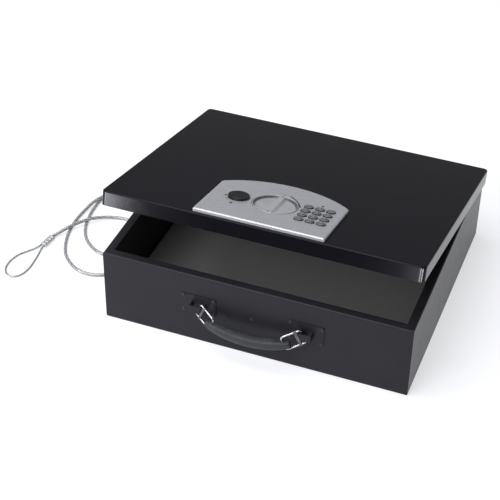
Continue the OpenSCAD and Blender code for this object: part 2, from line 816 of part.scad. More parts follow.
// Swaged stop and washer that hold the cable's end inside the wall.
module cable_stop() {
    color(steel) translate([-half_w + sheet_t + flange_t, exit_y, exit_z])
        rotate([0, 90, 0]) {
            cylinder(h = stop_t, r = grommet_r + 3);
            translate([0, 0, stop_t]) cylinder(h = stop_l, r = cable_r + 1.8);
        }
}

module cable() {
    path = concat([[-half_w + sheet_t + flange_t, exit_y, exit_z]], cable_path);
    color([0.72, 0.73, 0.73]) sweep(path, [for (p = path) circle_points(cable_r, 8)]);
}

// Flattened double-bored sleeve pressed on where the rope turns back on itself.
module cable_ferrule() {
    last = len(cable_path) - 1;
    way = cable_path[last] - cable_path[last - 1];
    color([0.75, 0.76, 0.77]) translate(cable_path[last])
        rotate([0, 0, atan2(way[1], way[0])]) rotate([0, 90, 0])
            linear_extrude(ferrule_l) rotate([0, 0, 90]) oval(10.4, 6.6);
}

// Bare wire rope of the eye that a padlock or the cable itself goes through.
module cable_eye() {
    color([0.78, 0.79, 0.8])
        sweep(eye_path, [for (p = eye_path) circle_points(rope_d / 2, 8)]);
}

// ---- lock: bezel and controls on the lid ----

// Outline of the bezel, inset by a distance: straight front and sides, arched back.
// The arch and its two corner arcs are tangent.
function bezel_outline(inset) =
    let (half = bezel_w / 2 - inset, arc = bezel_arc_r - inset,
        r = max(bezel_corner_r - inset, 0.5), front = bezel_front + inset,
        cy = bezel_back - bezel_arc_r, fx = half - r,
        fy = cy + sqrt(pow(arc - r, 2) - fx * fx), tilt = atan2(fy - cy, fx), fr = 2)
    concat(
        [for (i = [0:4]) [half - fr + fr * cos(-90 + 22.5 * i),
            front + fr + fr * sin(-90 + 22.5 * i)]],
        [for (i = [0:5]) [fx + r * cos(tilt * i / 5), fy + r * sin(tilt * i / 5)]],
        [for (i = [1:23]) let (a = tilt + (180 - 2 * tilt) * i / 24)
            [arc * cos(a), cy + arc * sin(a)]],
        [for (i = [5:-1:0]) [-fx - r * cos(tilt * i / 5), fy + r * sin(tilt * i / 5)]],
        [for (i = [0:4]) [-half + fr + fr * cos(180 + 22.5 * i),
            front + fr + fr * sin(180 + 22.5 * i)]]);

module bezel_layer(inset, z, h) {
    translate([bezel_x, 0, z]) linear_extrude(h) polygon(bezel_outline(inset));
}

// Moulded bezel: a shallow cap with a soft upper edge, a round well for the knob, a seat
// for the override lock's cover and an opening for each key.
module lock_bezel() {
    r = bezel_edge_r;
    color(silver) on_lid() difference() {
        union() {
            difference() {
                hull() {
                    bezel_layer(0, lid_top, bezel_h - r);
                    bezel_layer(r * 0.3, lid_top, bezel_h - r * 0.3);
                    bezel_layer(r, lid_top, bezel_h);
                }
                bezel_layer(bezel_wall, lid_top - e, bezel_h - bezel_wall + e);
            }
            translate([bezel_x, knob_y, lid_top])
                cylinder(h = bezel_h - 1, r = well_r + bezel_wall);
            translate([cover_x, cover_y, lid_top])
                cylinder(h = bezel_h - 1, r = cover_d / 2 + bezel_wall);
            translate([0, 0, lid_top - lid_under]) at_screws()
                cylinder(h = bezel_h - 1, r = screw_r + 1.4);
        }
        translate([bezel_x, knob_y, well_floor]) cylinder(h = 20, r = well_r);
        translate([bezel_x, knob_y, lid_top]) cylinder(h = 10, r = spindle_d / 2 + fit,
            center = true);
        translate([cover_x, cover_y, bezel_top - cover_sunk])
            cylinder(h = 20, r = cover_d / 2 + 0.2);
        translate([cover_x, cover_y, cover_floor]) cylinder(h = 20, r = cover_d / 2 - 2);
        translate([cover_x, cover_y, lid_top]) cylinder(h = 20, r = cylinder_r,
            center = true);
        for (k = [0:11]) at_key(k) translate([0, 0, bezel_under - 5]) linear_extrude(20)
            oval(key_l + 2 * key_hole_gap, key_w + 2 * key_hole_gap);
        translate([pad_x, led_y, bezel_under - 5]) cylinder(h = 20, r = led_d / 2);
        translate([0, 0, lid_top - lid_under]) at_screws()
            translate([0, 0, -1]) cylinder(h = bezel_h - 1.4, r = screw_r);
    }
}

// Place of key k: three columns from the left, four rows from the back.
module at_key(k) {
    translate([pad_x + (k % 3 - 1) * key_pitch_x,
        pad_y + (1.5 - floor(k / 3)) * key_pitch_y, 0]) children();
}

// Oval key cap with a crowned top, a retaining flange under the bezel and a short stem.
module keycap(k) {
    flange_z = bezel_under - clear - key_flange;
    top = bezel_top + key_proud;
    color([0.45, 0.45, 0.47]) on_lid() at_key(k) {
        intersection() {
            translate([0, 0, flange_z]) linear_extrude(top - flange_z)
                oval(key_l, key_w);
            translate([0, 0, top - key_crown_r]) sphere(key_crown_r);
        }
        translate([0, 0, flange_z]) linear_extrude(key_flange)
            oval(key_l + 2 * key_flange_over, key_w + 2 * key_flange_over);
        translate([0, 0, stem_z])
            cylinder(h = flange_z + key_flange / 2 - stem_z, r = key_stem_r);
    }
}

// Rubber mat with the contacts, lying on the board in the lid's window.
module keypad_mat() {
    color([0.2, 0.2, 0.2]) on_lid() translate([pad_x, pad_y, lid_under])
        linear_extrude(mat_t) round_rect(pad_w - 1, 4 * key_pitch_y - 2, 3);
}

module circuit_board() {
    color([0.1, 0.35, 0.2]) on_lid()
        span([pad_x - pad_w / 2 - 1, window_front - board_over, lid_under - board_t],
            [pad_x + pad_w / 2 + 1, window_back + board_over, lid_under]);
}

// Lens of the status lamp, standing on the board.
module status_led() {
    color([0.08, 0.08, 0.09]) on_lid() translate([pad_x, led_y, lid_under])
        cylinder(h = bezel_top + 0.3 - lid_under, r = led_d / 2 - fit);
}

// Round cap over the override lock, with a soft edge and a skirt that grips its seat.
module key_cover() {
    r = cover_d / 2;
    h = cover_sunk + cover_proud;
    soft = 0.8;
    color(dark_plastic) on_lid() translate([cover_x, cover_y, bezel_top - cover_sunk])
        difference() {
            union() {
                cylinder(h = h - soft, r = r);
                cylinder(h = h, r = r - soft);
                translate([0, 0, h - soft]) rotate_extrude()
                    translate([r - soft, 0]) circle(soft, $fn = 24);
                translate([0, 0, -cover_skirt]) cylinder(h = cover_skirt, r = r - 2.1);
            }
            translate([0, 0, -cover_skirt - 1])
                cylinder(h = cover_skirt + cover_sunk + 1, r = r - 3.6);
        }
}

// Body of the override lock, through the bezel and the lid, with a flange under the lid.
module key_cylinder() {
    top = cover_floor - 0.2;
    color(steel) on_lid() translate([cover_x, cover_y, 0]) difference() {
        union() {
            translate([0, 0, housing_floor + 8]) cylinder(h = top - housing_floor - 8,
                r = cylinder_r - fit);
            translate([0, 0, lid_under - 2]) cylinder(h = 2, r = cylinder_r + 2.5);
        }
        translate([0, 0, housing_floor]) cylinder(h = 40, r = plug_r + fit);
    }
}

// Plug of the override lock with its keyway, and the lever on its lower end.
module key_plug() {
    low = housing_floor + 3;
    top = cover_floor - 0.4;
    color(steel) on_lid() translate([cover_x, cover_y, 0]) difference() {
        union() {
            translate([0, 0, low]) cylinder(h = top - low, r = plug_r);
            translate([-lever_w / 2, -lever_l, low]) cube([lever_w, lever_l, lever_t]);
        }
        translate([-keyway_w / 2, -keyway_l / 2, top - keyway_deep])
            cube([keyway_w, keyway_l, keyway_deep + 1]);
    }
}

// Round turning knob: a raised bar between two scooped finger wells inside a rim, with a
// pointer dimple at the bar's rear end.
module knob() {
    h = knob_top - knob_z;
    rim = knob_d / 2 - knob_rim_w;
    scoop_x = knob_bar_w / 2 + sqrt(scoop_r * scoop_r - scoop_up * scoop_up);
    color(silver) on_lid() translate([bezel_x, knob_y, knob_z]) difference() {
        union() {
            cylinder(h = h - knob_edge_r, r = knob_d / 2, $fn = 96);
            cylinder(h = h, r = knob_d / 2 - knob_edge_r, $fn = 96);
            translate([0, 0, h - knob_edge_r]) rotate_extrude($fn = 96)
                translate([knob_d / 2 - knob_edge_r, 0]) circle(knob_edge_r, $fn = 24);
        }
        for (s = [-1, 1]) intersection() {
            translate([0, 0, knob_floor_t]) cylinder(h = h, r = rim, $fn = 96);
            translate([s * scoop_x, 0, h + scoop_up]) rotate([90, 0, 0])
                cylinder(h = knob_d, r = scoop_r, center = true, $fn = 96);
        }
        for (s = [-1, 1]) intersection() {
            translate([0, 0, knob_floor_t]) cylinder(h = h, r = rim, $fn = 96);
            span([s > 0 ? scoop_x : -knob_d, -knob_d, knob_floor_t],
                [s > 0 ? knob_d : -scoop_x, knob_d, h + 1]);
        }
        translate([0, rim, h - dimple_deep]) cylinder(h = 2, r = dimple_r);
        translate([0, 0, -1]) cylinder(h = 3, r = spindle_d / 2 + fit);
    }
}

// Steel spindle from the knob to the cam.
module knob_spindle() {
    color(steel) on_lid() translate([bezel_x, knob_y, cam_z])
        cylinder(h = knob_z + 1.9 - cam_z, r = spindle_d / 2);
}

// Cam disc on the spindle, with its crank pin below and two notches for the plunger.
module lock_cam() {
    color(steel) on_lid() translate([bezel_x, knob_y, cam_z]) difference() {
        union() {
            cylinder(h = cam_t, r = cam_r);
            translate([crank_r * cos(45), crank_r * sin(45), carriage_z - 1 - cam_z])
                cylinder(h = cam_z - carriage_z + 1.5, r = crank_pin_d / 2);
        }
        translate([0, 0, -e]) cylinder(h = cam_t + 1, r = spindle_d / 2);
        for (a = [90, 180]) rotate([0, 0, a]) translate([cam_r, 0, cam_t / 2])
            cube([2 * notch_depth, 2 * plunger_r + 0.8, cam_t + 2], center = true);
    }
}

// Flanged bush that carries the spindle in the lid.
module spindle_bush() {
    color([0.7, 0.6, 0.35]) on_lid() translate([bezel_x, knob_y, 0]) difference() {
        union() {
            translate([0, 0, lid_under]) cylinder(h = lid_t, r = spindle_d / 2 + 1.9);
            translate([0, 0, lid_under - bush_l]) cylinder(h = bush_l, r = bush_r);
        }
        translate([0, 0, lid_under]) cylinder(h = 4 * bush_l, r = spindle_d / 2 + fit,
            center = true);
    }
}

// ---- lock: works under the lid ----

// Sliding plate: a crossbar for the bolts and a tongue with the slot for the crank pin.
module bolt_carriage() {
    color(steel) on_lid() translate([bezel_x, 0, carriage_z]) difference() {
        union() {
            span([-bolt_dx - bar_over, bar_front, 0],
                [bolt_dx + bar_over, bar_back, carriage_t]);
            span([-tongue_w / 2, bar_back - 1, 0],
                [tongue_w / 2, slot_y + tongue_over, carriage_t]);
        }
        translate([crank_r * (1 + cos(45)) / 2, slot_y, -1]) linear_extrude(carriage_t + 2)
            oval(crank_r * (1 - cos(45)) + slot_w + 0.4, slot_w);
    }
}

// The two bolts, riveted on the crossbar.
module lock_bolts() {
    color(steel) on_lid() for (s = [-1, 1])
        span([bezel_x + s * bolt_dx - bolt_w / 2, bolt_tip, bolt_z],
            [bezel_x + s * bolt_dx + bolt_w / 2, bar_back - 1, bolt_z + bolt_t]);
}

// Rail at the door's front edge: a wall beside the door and a lip under it.
module door_rail() {
    low = -door_t - clear - rail_t;
    span([0, -rail_w - clear, low], [tray_l, -clear, e]);
    span([0, -clear - e, low], [tray_l, rail_w / 2, low + rail_t]);
}

// Moulded cover under the lid: open at the top, windows for the bolts, ribs under the
// carriage, rails for the battery door, posts for the screws.
module lock_housing() {
    w = housing_w / 2;
    color(dark_plastic) on_lid() difference() {
        union() {
            difference() {
                span([bezel_x - w, housing_front, housing_z],
                    [bezel_x + w, housing_back, lid_under]);
                span([bezel_x - w + housing_t, housing_front + housing_t, housing_floor],
                    [bezel_x + w - housing_t, housing_back - housing_t, lid_under + 1]);
            }
            for (s = [-1, 1])
                span([bezel_x + s * rib_x - rib_w / 2, bar_front - 3, housing_floor - e],
                    [bezel_x + s * rib_x + rib_w / 2, bar_back + 1, carriage_z - clear]);
            at_screws() translate([0, 0, -housing_h + 1])
                cylinder(h = housing_h - 1, r = post_r);
            for (s = [0, 1]) translate([tray_x, s == 0 ? door_front : door_back, housing_z])
                mirror([0, s, 0]) door_rail();
        }
        for (s = [-1, 1])
            span([bezel_x + s * bolt_dx - bolt_w / 2 - clear, housing_front - 1,
                    bolt_z - clear],
                [bezel_x + s * bolt_dx + bolt_w / 2 + clear, housing_front + 4,
                    bolt_z + bolt_t + clear]);
        span([tray_x + 5, tray_front + 6, housing_z - 1],
            [tray_x + tray_l - 9, tray_back - 6, housing_floor + 1]);
        at_screws() translate([0, 0, -housing_h - 1])
            cylinder(h = housing_h + 2, r = screw_r + 0.2);
    }
}

// Four screws that clamp the housing, the lid and the bezel together.
module lock_screws() {
    color(steel) on_lid() at_screws() translate([0, 0, -housing_h]) {
        cylinder(h = housing_h + lid_t + bezel_h - 2.8, r = screw_r - fit);
        translate([0, 0, -head_t]) cylinder(h = head_t, r = head_r);
    }
}

// Coil and frame of the blocking solenoid, hung under the lid behind the cam.
module solenoid() {
    y = plunger_tip + 3;
    color([0.75, 0.7, 0.5]) on_lid() difference() {
        span([bezel_x - sol_w / 2, y, plunger_z - sol_low],
            [bezel_x + sol_w / 2, y + sol_l, lid_under]);
        translate([bezel_x, y - 1, plunger_z]) rotate([-90, 0, 0])
            cylinder(h = sol_l - 4, r = plunger_r + fit);
    }
}

// Plunger that drops into a notch of the cam.
module plunger() {
    color(steel) on_lid() translate([bezel_x, plunger_tip, plunger_z])
        rotate([-90, 0, 0]) cylinder(h = plunger_l, r = plunger_r);
}

// Open tray for four cells side by side.
module battery_holder() {
    z = housing_floor;
    color(dark_plastic) on_lid() difference() {
        span([tray_x, tray_front, z], [tray_x + tray_l, tray_back, z + 10]);
        span([tray_x + tray_t, tray_front + tray_t, z - 1],
            [tray_x + tray_l - tray_t, tray_back - tray_t, z + 11]);
    }
}

module batteries() {
    color([0.75, 0.6, 0.3]) on_lid() for (i = [0:cell_n - 1])
        translate([tray_x + tray_t + 0.5, tray_front + tray_t + (i + 0.5) * cell_pitch,
            housing_floor + cell_d / 2 + 0.2]) rotate([0, 90, 0]) {
            cylinder(h = cell_l - button_h + e, r = cell_d / 2);
            translate([0, 0, cell_l - button_h]) cylinder(h = button_h, r = button_r);
        }
}

// Sliding door under the cells.
module battery_door() {
    color(dark_plastic) on_lid()
        span([tray_x + 2, door_front, housing_z - door_t],
            [tray_x + 2 + door_l, door_back, housing_z - 0.02]);
}

case_wrap();
left_end();
right_end();
strike_plate();
floor_liner();
case_leaf();
hinge_pin();
lid_leaf();
lid_shell();
left_bracket();
right_bracket();
front_rivets();
left_ring();
right_ring();
ring_bands();
grip_strip();
handle_grip();
cable_grommet();
cable_stop();
cable();
cable_ferrule();
cable_eye();
lock_bezel();
key_cover();
key_cylinder();
key_plug();
keypad_mat();
circuit_board();
status_led();
keycap(0);  // key_1
keycap(1);  // key_2
keycap(2);  // key_3
keycap(3);  // key_4
keycap(4);  // key_5
keycap(5);  // key_6
keycap(6);  // key_7
keycap(7);  // key_8
keycap(8);  // key_9
keycap(9);  // key_10
keycap(10);  // key_11
keycap(11);  // key_12
knob();
knob_spindle();
lock_cam();
spindle_bush();
bolt_carriage();
lock_bolts();
lock_housing();
lock_screws();
solenoid();
plunger();
battery_holder();
batteries();
battery_door();
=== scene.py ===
import bpy
import math
import numpy as np
from mathutils import Matrix


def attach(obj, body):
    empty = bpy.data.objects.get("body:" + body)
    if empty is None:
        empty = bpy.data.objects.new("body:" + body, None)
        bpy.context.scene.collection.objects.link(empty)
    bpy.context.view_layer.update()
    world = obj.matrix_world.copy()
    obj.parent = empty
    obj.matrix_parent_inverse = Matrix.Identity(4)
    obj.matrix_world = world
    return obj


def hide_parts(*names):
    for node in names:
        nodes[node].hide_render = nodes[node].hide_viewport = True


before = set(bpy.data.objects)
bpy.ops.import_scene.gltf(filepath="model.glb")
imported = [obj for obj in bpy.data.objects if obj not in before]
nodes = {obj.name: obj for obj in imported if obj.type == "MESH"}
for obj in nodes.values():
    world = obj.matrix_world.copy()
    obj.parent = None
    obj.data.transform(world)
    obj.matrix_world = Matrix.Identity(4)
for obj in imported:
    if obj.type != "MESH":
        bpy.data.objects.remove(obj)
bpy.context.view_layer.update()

# ---- camera ----
# A long lens two metres away looks down on the box from the front right. Its place is
# turned by azimuth, elevation and roll about the box and then shifted across the view.
focal_length, picture_width = 1427.764, 500
shift_across, shift_up, distance = -0.06807, 0.032809, 2.014373
camera_data = bpy.data.cameras.new("camera")
camera_data.sensor_width = 36
camera_data.lens = focal_length / picture_width * camera_data.sensor_width
camera = bpy.data.objects.new("camera", camera_data)
bpy.context.scene.collection.objects.link(camera)
azimuth, elevation, roll = np.radians([20.271, 38.118, 0.988])
back = np.array([math.sin(azimuth) * math.cos(elevation),
                 -math.cos(azimuth) * math.cos(elevation), math.sin(elevation)])
level = np.array([math.cos(azimuth), math.sin(azimuth), 0])
across = level * math.cos(roll) + np.cross(back, level) * math.sin(roll)
upward = -level * math.sin(roll) + np.cross(back, level) * math.cos(roll)
stand = shift_across * across + shift_up * upward + distance * back
pose = np.eye(4)
pose[:3, :3] = np.stack([across, upward, back], axis=1)
pose[:3, 3] = stand
camera.matrix_world = Matrix(pose.tolist())
bpy.context.scene.camera = camera


# ---- tether cable ----
# Twisted steel wire rope in a clear vinyl coat. It comes out of the left wall, lies on
# the ground in two loose turns and ends in a pressed sleeve with a bare rope eye.
def smooth_line(points, step):
    """Points a step apart along a curve through the given ones. Between two of them the
    curve is the centripetal Catmull-Rom cubic of those two and their neighbours."""
    p = np.asarray(points, float)
    p = np.vstack([2 * p[0] - p[1], p, 2 * p[-1] - p[-2]])
    spans = np.linalg.norm(np.diff(p, axis=0), axis=1)
    knots = np.concatenate([[0], np.cumsum(spans ** 0.5)])
    u = np.linspace(knots[1], knots[-2], 60 * len(points))
    k = np.clip(np.searchsorted(knots, u, side="right") - 1, 1, len(p) - 3)
    t0, t1, t2, t3 = (knots[k + d][:, None] for d in (-1, 0, 1, 2))
    p0, p1, p2, p3 = (p[k + d] for d in (-1, 0, 1, 2))
    w = u[:, None]
    a1 = (t1 - w) / (t1 - t0) * p0 + (w - t0) / (t1 - t0) * p1
    a2 = (t2 - w) / (t2 - t1) * p1 + (w - t1) / (t2 - t1) * p2
    a3 = (t3 - w) / (t3 - t2) * p2 + (w - t2) / (t3 - t2) * p3
    b1 = (t2 - w) / (t2 - t0) * a1 + (w - t0) / (t2 - t0) * a2
    b2 = (t3 - w) / (t3 - t1) * a2 + (w - t1) / (t3 - t1) * a3
    line = (t2 - w) / (t2 - t1) * b1 + (w - t1) / (t2 - t1) * b2
    along = np.concatenate([[0], np.cumsum(np.linalg.norm(np.diff(line, axis=0), axis=1))])
    at = np.linspace(0, along[-1], max(2, int(round(along[-1] / step)) + 1))
    return np.stack([np.interp(at, along, line[:, c]) for c in range(3)], axis=1)


def grid_faces(rows, columns, closed=True):
    """Four-sided faces between rows i, i + 1 and columns j, j + 1 of a grid of points
    stored row by row. With closed, the last column is joined to the first."""
    i, j = np.meshgrid(np.arange(rows - 1), np.arange(columns if closed else columns - 1),
                       indexing="ij")
    k = (j + 1) % columns
    faces = np.stack([i * columns + j, i * columns + k, (i + 1) * columns + k,
                      (i + 1) * columns + j], axis=-1)
    return faces.reshape(-1, 4)


def add_piece(name, parts, material, body, sharp=40):
    """One object from a list of (points in millimetres, faces). Each part is closed, and
    its faces are turned over where its volume, a sixth of the sum of the corner
    determinants of its triangles, comes out negative."""
    all_points, all_faces, first = [], [], 0
    for points, faces in parts:
        points = np.asarray(points, float).reshape(-1, 3) / 1000
        faces = [list(map(int, f)) for f in faces]
        fans = np.array([[f[0], f[n], f[n + 1]]
                         for f in faces for n in range(1, len(f) - 1)])
        volume = np.linalg.det(points[fans]).sum() / 6
        if volume < 0:
            faces = [f[::-1] for f in faces]
        all_points.append(points)
        all_faces += [[v + first for v in f] for f in faces]
        first += len(points)
    mesh = bpy.data.meshes.new(name)
    mesh.from_pydata(np.vstack(all_points).tolist(), [], all_faces)
    mesh.shade_smooth()
    mesh.set_sharp_from_angle(angle=math.radians(sharp))
    mesh.materials.append(material)
    piece = bpy.data.objects.new(name, mesh)
    bpy.context.scene.collection.objects.link(piece)
    piece.modifiers.new("even_normals", "WEIGHTED_NORMAL").keep_sharp = True
    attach(piece, body)
    return piece


def stack_loops(rows):
    """Closed skin of stacked loops with the same number of points: bands between them
    and a flat face over the first and the last."""
    count = len(rows[0])
    faces = grid_faces(len(rows), count).tolist()
    last = (len(rows) - 1) * count
    faces += [list(range(count))[::-1], [last + c for c in range(count)]]
    return np.vstack(rows), faces


def sweep(line, sections):
    """Points and faces of sections carried along a line. Each section's first axis stays
    level and square to the line and its second is square to both, so the tube never
    twists by itself."""
    line = np.asarray(line, float)
    ahead = np.gradient(line, axis=0)
    ahead /= np.linalg.norm(ahead, axis=1)[:, None]
    side = np.cross(ahead, [0, 0, 1])
    side /= np.linalg.norm(side, axis=1)[:, None]
    over = np.cross(side, ahead)
    sections = np.broadcast_to(sections, (len(line),) + np.shape(sections)[-2:])
    points = (line[:, None] + sections[..., :1] * side[:, None]
              + sections[..., 1:] * over[:, None])
    return stack_loops(points)


def circle(radius, count):
    """Points round a circle: (r cos a, r sin a), where a runs once round."""
    a = np.linspace(0, 2 * np.pi, count, endpoint=False)
    return np.stack([radius * np.cos(a), radius * np.sin(a)], axis=-1)


def tube_map(piece, rows, columns, length):
    """Writes a UV map on a swept tube: u is the distance along it in metres, v the turn
    round it from 0 to 1. The corners of face (i, j) take row i or i + 1 and column j or
    j + 1."""
    layer = piece.data.uv_layers.new(name="tube")
    i, j = np.meshgrid(np.arange(rows - 1), np.arange(columns), indexing="ij")
    u = np.stack([i, i, i + 1, i + 1], axis=-1) * length / (rows - 1)
    v = np.stack([j, j + 1, j + 1, j], axis=-1) / columns
    flat = np.zeros((len(layer.data), 2))
    flat[:u.size, 0] = u.ravel()
    flat[:u.size, 1] = v.ravel()
    layer.data.foreach_set("uv", flat.ravel())


class Look:
    """One material: a Principled shader and nodes on Object coordinates."""

    def __init__(self, name, color, roughness, metallic=0.0, specular=0.5):
        self.material = bpy.data.materials.new(name)
        self.material.use_nodes = True
        self.tree = self.material.node_tree
        self.shader = self.tree.nodes["Principled BSDF"]
        self.set("Base Color", (*color, 1))
        self.set("Roughness", roughness)
        self.set("Metallic", metallic)
        self.set("Specular IOR Level", specular)
        self.place = self.node("ShaderNodeTexCoord").outputs["Object"]

    def set(self, socket, value):
        self.shader.inputs[socket].default_value = value

    def node(self, kind, inputs=None, **settings):
        made = self.tree.nodes.new(kind)
        for key, value in settings.items():
            setattr(made, key, value)
        for key, value in (inputs or {}).items():
            if hasattr(value, "is_output"):
                self.tree.links.new(value, made.inputs[key])
            else:
                made.inputs[key].default_value = value
        return made

    def noise(self, scale, detail=3.0, rough=0.5, stretch=None):
        place = self.place
        if stretch:
            place = self.node("ShaderNodeMapping",
                              {"Vector": place, "Scale": stretch}).outputs[0]
        return self.node("ShaderNodeTexNoise", {"Vector": place, "Scale": scale,
                         "Detail": detail, "Roughness": rough}).outputs["Fac"]

    def ramp(self, factor, stops):
        made = self.node("ShaderNodeValToRGB", {"Fac": factor})
        band = made.color_ramp
        while len(band.elements) < len(stops):
            band.elements.new(0.5)
        for element, (at, color) in zip(band.elements, stops):
            element.position = at
            if not hasattr(color, "__len__"):
                color = (color,) * 3
            element.color = (*color, 1)
        return made.outputs["Color"]

    def link(self, output, socket):
        self.tree.links.new(output, self.shader.inputs[socket])

    def vary(self, socket, scale, low, high, detail=3.0, rough=0.5, ends=(0.3, 0.7)):
        """Lets a socket wander between two values: a noise, ramped between its ends."""
        cloud = self.noise(scale, detail, rough)
        self.link(self.ramp(cloud, [(ends[0], low), (ends[1], high)]), socket)

    def relief(self, height, strength, distance):
        """Bump from a height; a second call adds its bump to the first."""
        inputs = {"Height": height, "Strength": strength, "Distance": distance}
        made = self.node("ShaderNodeBump", inputs)
        before = self.shader.inputs["Normal"].links
        if before:
            self.tree.links.new(before[0].from_socket, made.inputs["Normal"])
        self.link(made.outputs["Normal"], "Normal")


cable_points = [
    (-213.5, 120, 20), (-227.5, 120, 19), (-242, 120, 14), (-256, 119, 7.5),
    (-270, 117, 3.4), (-285, 112, 2.6), (-300, 104, 2.6), (-314, 92, 2.6), (-325, 76, 2.6),
    (-331, 58, 2.6), (-332.5, 42, 2.6), (-332, 26, 2.6), (-330, 9, 2.6), (-325, -13, 2.6),
    (-317, -32, 2.6), (-306, -47, 2.6), (-292, -58.5, 2.6), (-277, -65, 2.6),
    (-262, -64.5, 2.6), (-247, -57, 2.6), (-236, -44, 2.6), (-229, -27, 2.6),
    (-225, -7, 2.6), (-224, 14, 2.6), (-226, 34, 2.6), (-232, 53, 2.6), (-243, 69, 2.6),
    (-258, 80, 2.6), (-275, 85, 2.6), (-292, 84, 2.6), (-308, 77, 4.5), (-321, 66, 6.8),
    (-331, 51, 7.8), (-338, 34, 6.6), (-342, 16, 4), (-344, -4, 2.6), (-342.5, -25, 2.6),
    (-338.5, -46, 2.6), (-331.5, -67, 2.6), (-321.5, -86, 2.6), (-309, -99.5, 2.6),
    (-294, -109.5, 2.6), (-277, -114, 2.6), (-260, -112, 2.6), (-246, -104, 2.6),
    (-234, -91, 2.6), (-225, -74, 2.6), (-220.5, -55, 4.5), (-222, -37, 7),
    (-228, -21, 7.8), (-237, -5, 6.4), (-249, 9, 3.6), (-263, 18, 2.6), (-278, 21.5, 2.6),
    (-293, 18.5, 3.4), (-308, 10, 5.6), (-324, -4.5, 7.8), (-335, -19, 7.8),
    (-344, -35, 7.8), (-351, -46.5, 5.8), (-356.4, -54.6, 3.9), (-357, -58, 3.9)]
cable_step, cable_radius, cable_sides = 2.5, 2.5, 14
inner_wall = (-208.4, 120, 20)
cable_line = smooth_line([inner_wall] + cable_points, cable_step)
cable_long = np.linalg.norm(np.diff(cable_line, axis=0), axis=1).sum() / 1000

# The strands show through the vinyl as slanted stripes, 210 to the metre and six round it,
# darker towards the grooves between them as painted shade.
coat = Look("clear_vinyl_over_rope", (0.42, 0.43, 0.44), 0.28)
turns = coat.node("ShaderNodeUVMap", uv_map="tube").outputs[0]
lay = coat.node("ShaderNodeMapping", {"Vector": turns, "Scale": (210, 6, 1)}).outputs[0]
lay = coat.node("ShaderNodeSeparateXYZ", {"Vector": lay})
slant = coat.node("ShaderNodeMath", {0: lay.outputs[0], 1: lay.outputs[1]}, operation="ADD")
strand = coat.node("ShaderNodeMath", {0: slant.outputs[0], 1: 1.0}, operation="PINGPONG")
# Painted shade: the colour is darkest in the grooves between strands.
shade = coat.ramp(strand.outputs[0], [(0.0, (0.13, 0.13, 0.14)), (0.35, (0.33, 0.34, 0.35)),
                                      (1.0, (0.52, 0.53, 0.54))])
coat.link(shade, "Base Color")
coat.set("Metallic", 0.25)
coat.set("Coat Weight", 0.6)
coat.set("Coat Roughness", 0.12)
coat.relief(strand.outputs[0], 0.35, 0.0004)
coat.vary("Roughness", 160, 0.22, 0.36)
cable = add_piece("tether_cable", [sweep(cable_line, circle(cable_radius, cable_sides))],
                  coat.material, "case")
tube_map(cable, len(cable_line), cable_sides, cable_long)
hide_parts("cable")

# Bare rope of the eye: six strands laid round a core, seen as six round lobes that turn
# once in eighteen millimetres.
eye_step, rope_lay, strands = 0.8, 18, 6
eye_line = smooth_line([
    (-363.6, -80.3, 3.9), (-364.1, -83.3, 3.9), (-368, -89.5, 2.8), (-375, -98, 1.8),
    (-382.5, -108.5, 1.7), (-387, -121, 1.7), (-388, -134, 1.7), (-385.5, -146, 1.7),
    (-379.5, -154.5, 1.7), (-371.5, -158.2, 1.7), (-363.5, -155, 1.7), (-357.8, -146, 1.7),
    (-355.5, -133, 1.7), (-356, -118, 1.7), (-357.5, -103, 1.8), (-358.7, -93, 2.6),
    (-358.9, -84.2, 3.9), (-358.4, -81.2, 3.9)], eye_step)
eye_twist = 2 * np.pi * (np.arange(len(eye_line)) * eye_step)[:, None] / rope_lay
eye_turn = np.linspace(0, 2 * np.pi, 7 * strands, endpoint=False)[None] - eye_twist
rope_core, lobe_height = 1.19, 0.31
lobe = rope_core + lobe_height * np.abs(np.cos(strands / 2 * (eye_turn + eye_twist)))
rope_section = np.stack([lobe * np.cos(eye_turn), lobe * np.sin(eye_turn)], axis=-1)
rope = Look("wire_rope", (0.42, 0.43, 0.44), 0.34, metallic=0.7)
rope.vary("Base Color", 900, (0.28, 0.29, 0.3), (0.56, 0.57, 0.58), 2)
rope.relief(rope.noise(1800, 2), 0.4, 0.0002)
eye = add_piece("rope_eye", [sweep(eye_line, rope_section)], rope.material, "case",
                sharp=70)
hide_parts("cable_eye")

# Pressed sleeve of soft zinc-plated steel: an oval tube squeezed in three places.
sleeve_at = np.array([0, 0.5, 1.2, 3, 4.2, 5.4, 6.6, 8.6, 9.8, 11.2, 12.4, 13.6, 15.6, 16.8,
                      18, 19.2, 21.8, 22.5, 23])
sleeve_in = np.array([0.6, 0.2, 0, 0, 0.45, 0.45, 0, 0, 0.45, 0.45, 0.45, 0, 0, 0.45, 0.45,
                      0, 0, 0.2, 0.6])
sleeve_way = (cable_line[-1] - cable_line[-2]) * (1, 1, 0)
sleeve_way = sleeve_way / np.linalg.norm(sleeve_way)
sleeve_line = cable_line[-1] + sleeve_at[:, None] * sleeve_way
turn = np.linspace(0, 2 * np.pi, 40, endpoint=False)
sleeve_round, sleeve_flat = 3.3, 1.9
oval = np.stack([sleeve_flat * np.sign(np.cos(turn)) * (np.abs(np.cos(turn)) > 1e-9)
                 + sleeve_round * np.cos(turn), sleeve_round * np.sin(turn)], axis=-1)
sleeve_sections = oval[None] * (1 - sleeve_in[:, None, None]
                                / np.array([sleeve_round + sleeve_flat, sleeve_round]))
pressed = Look("pressed_sleeve", (0.66, 0.67, 0.68), 0.34, metallic=0.6)
pressed.vary("Base Color", 420, (0.50, 0.51, 0.52), (0.76, 0.77, 0.78), 4)
pressed.vary("Roughness", 700, 0.25, 0.48)
pressed.relief(pressed.noise(1400, 2), 0.25, 0.0003)
sleeve = add_piece("rope_sleeve", [sweep(sleeve_line, sleeve_sections)], pressed.material,
                   "case", sharp=50)
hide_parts("cable_ferrule")

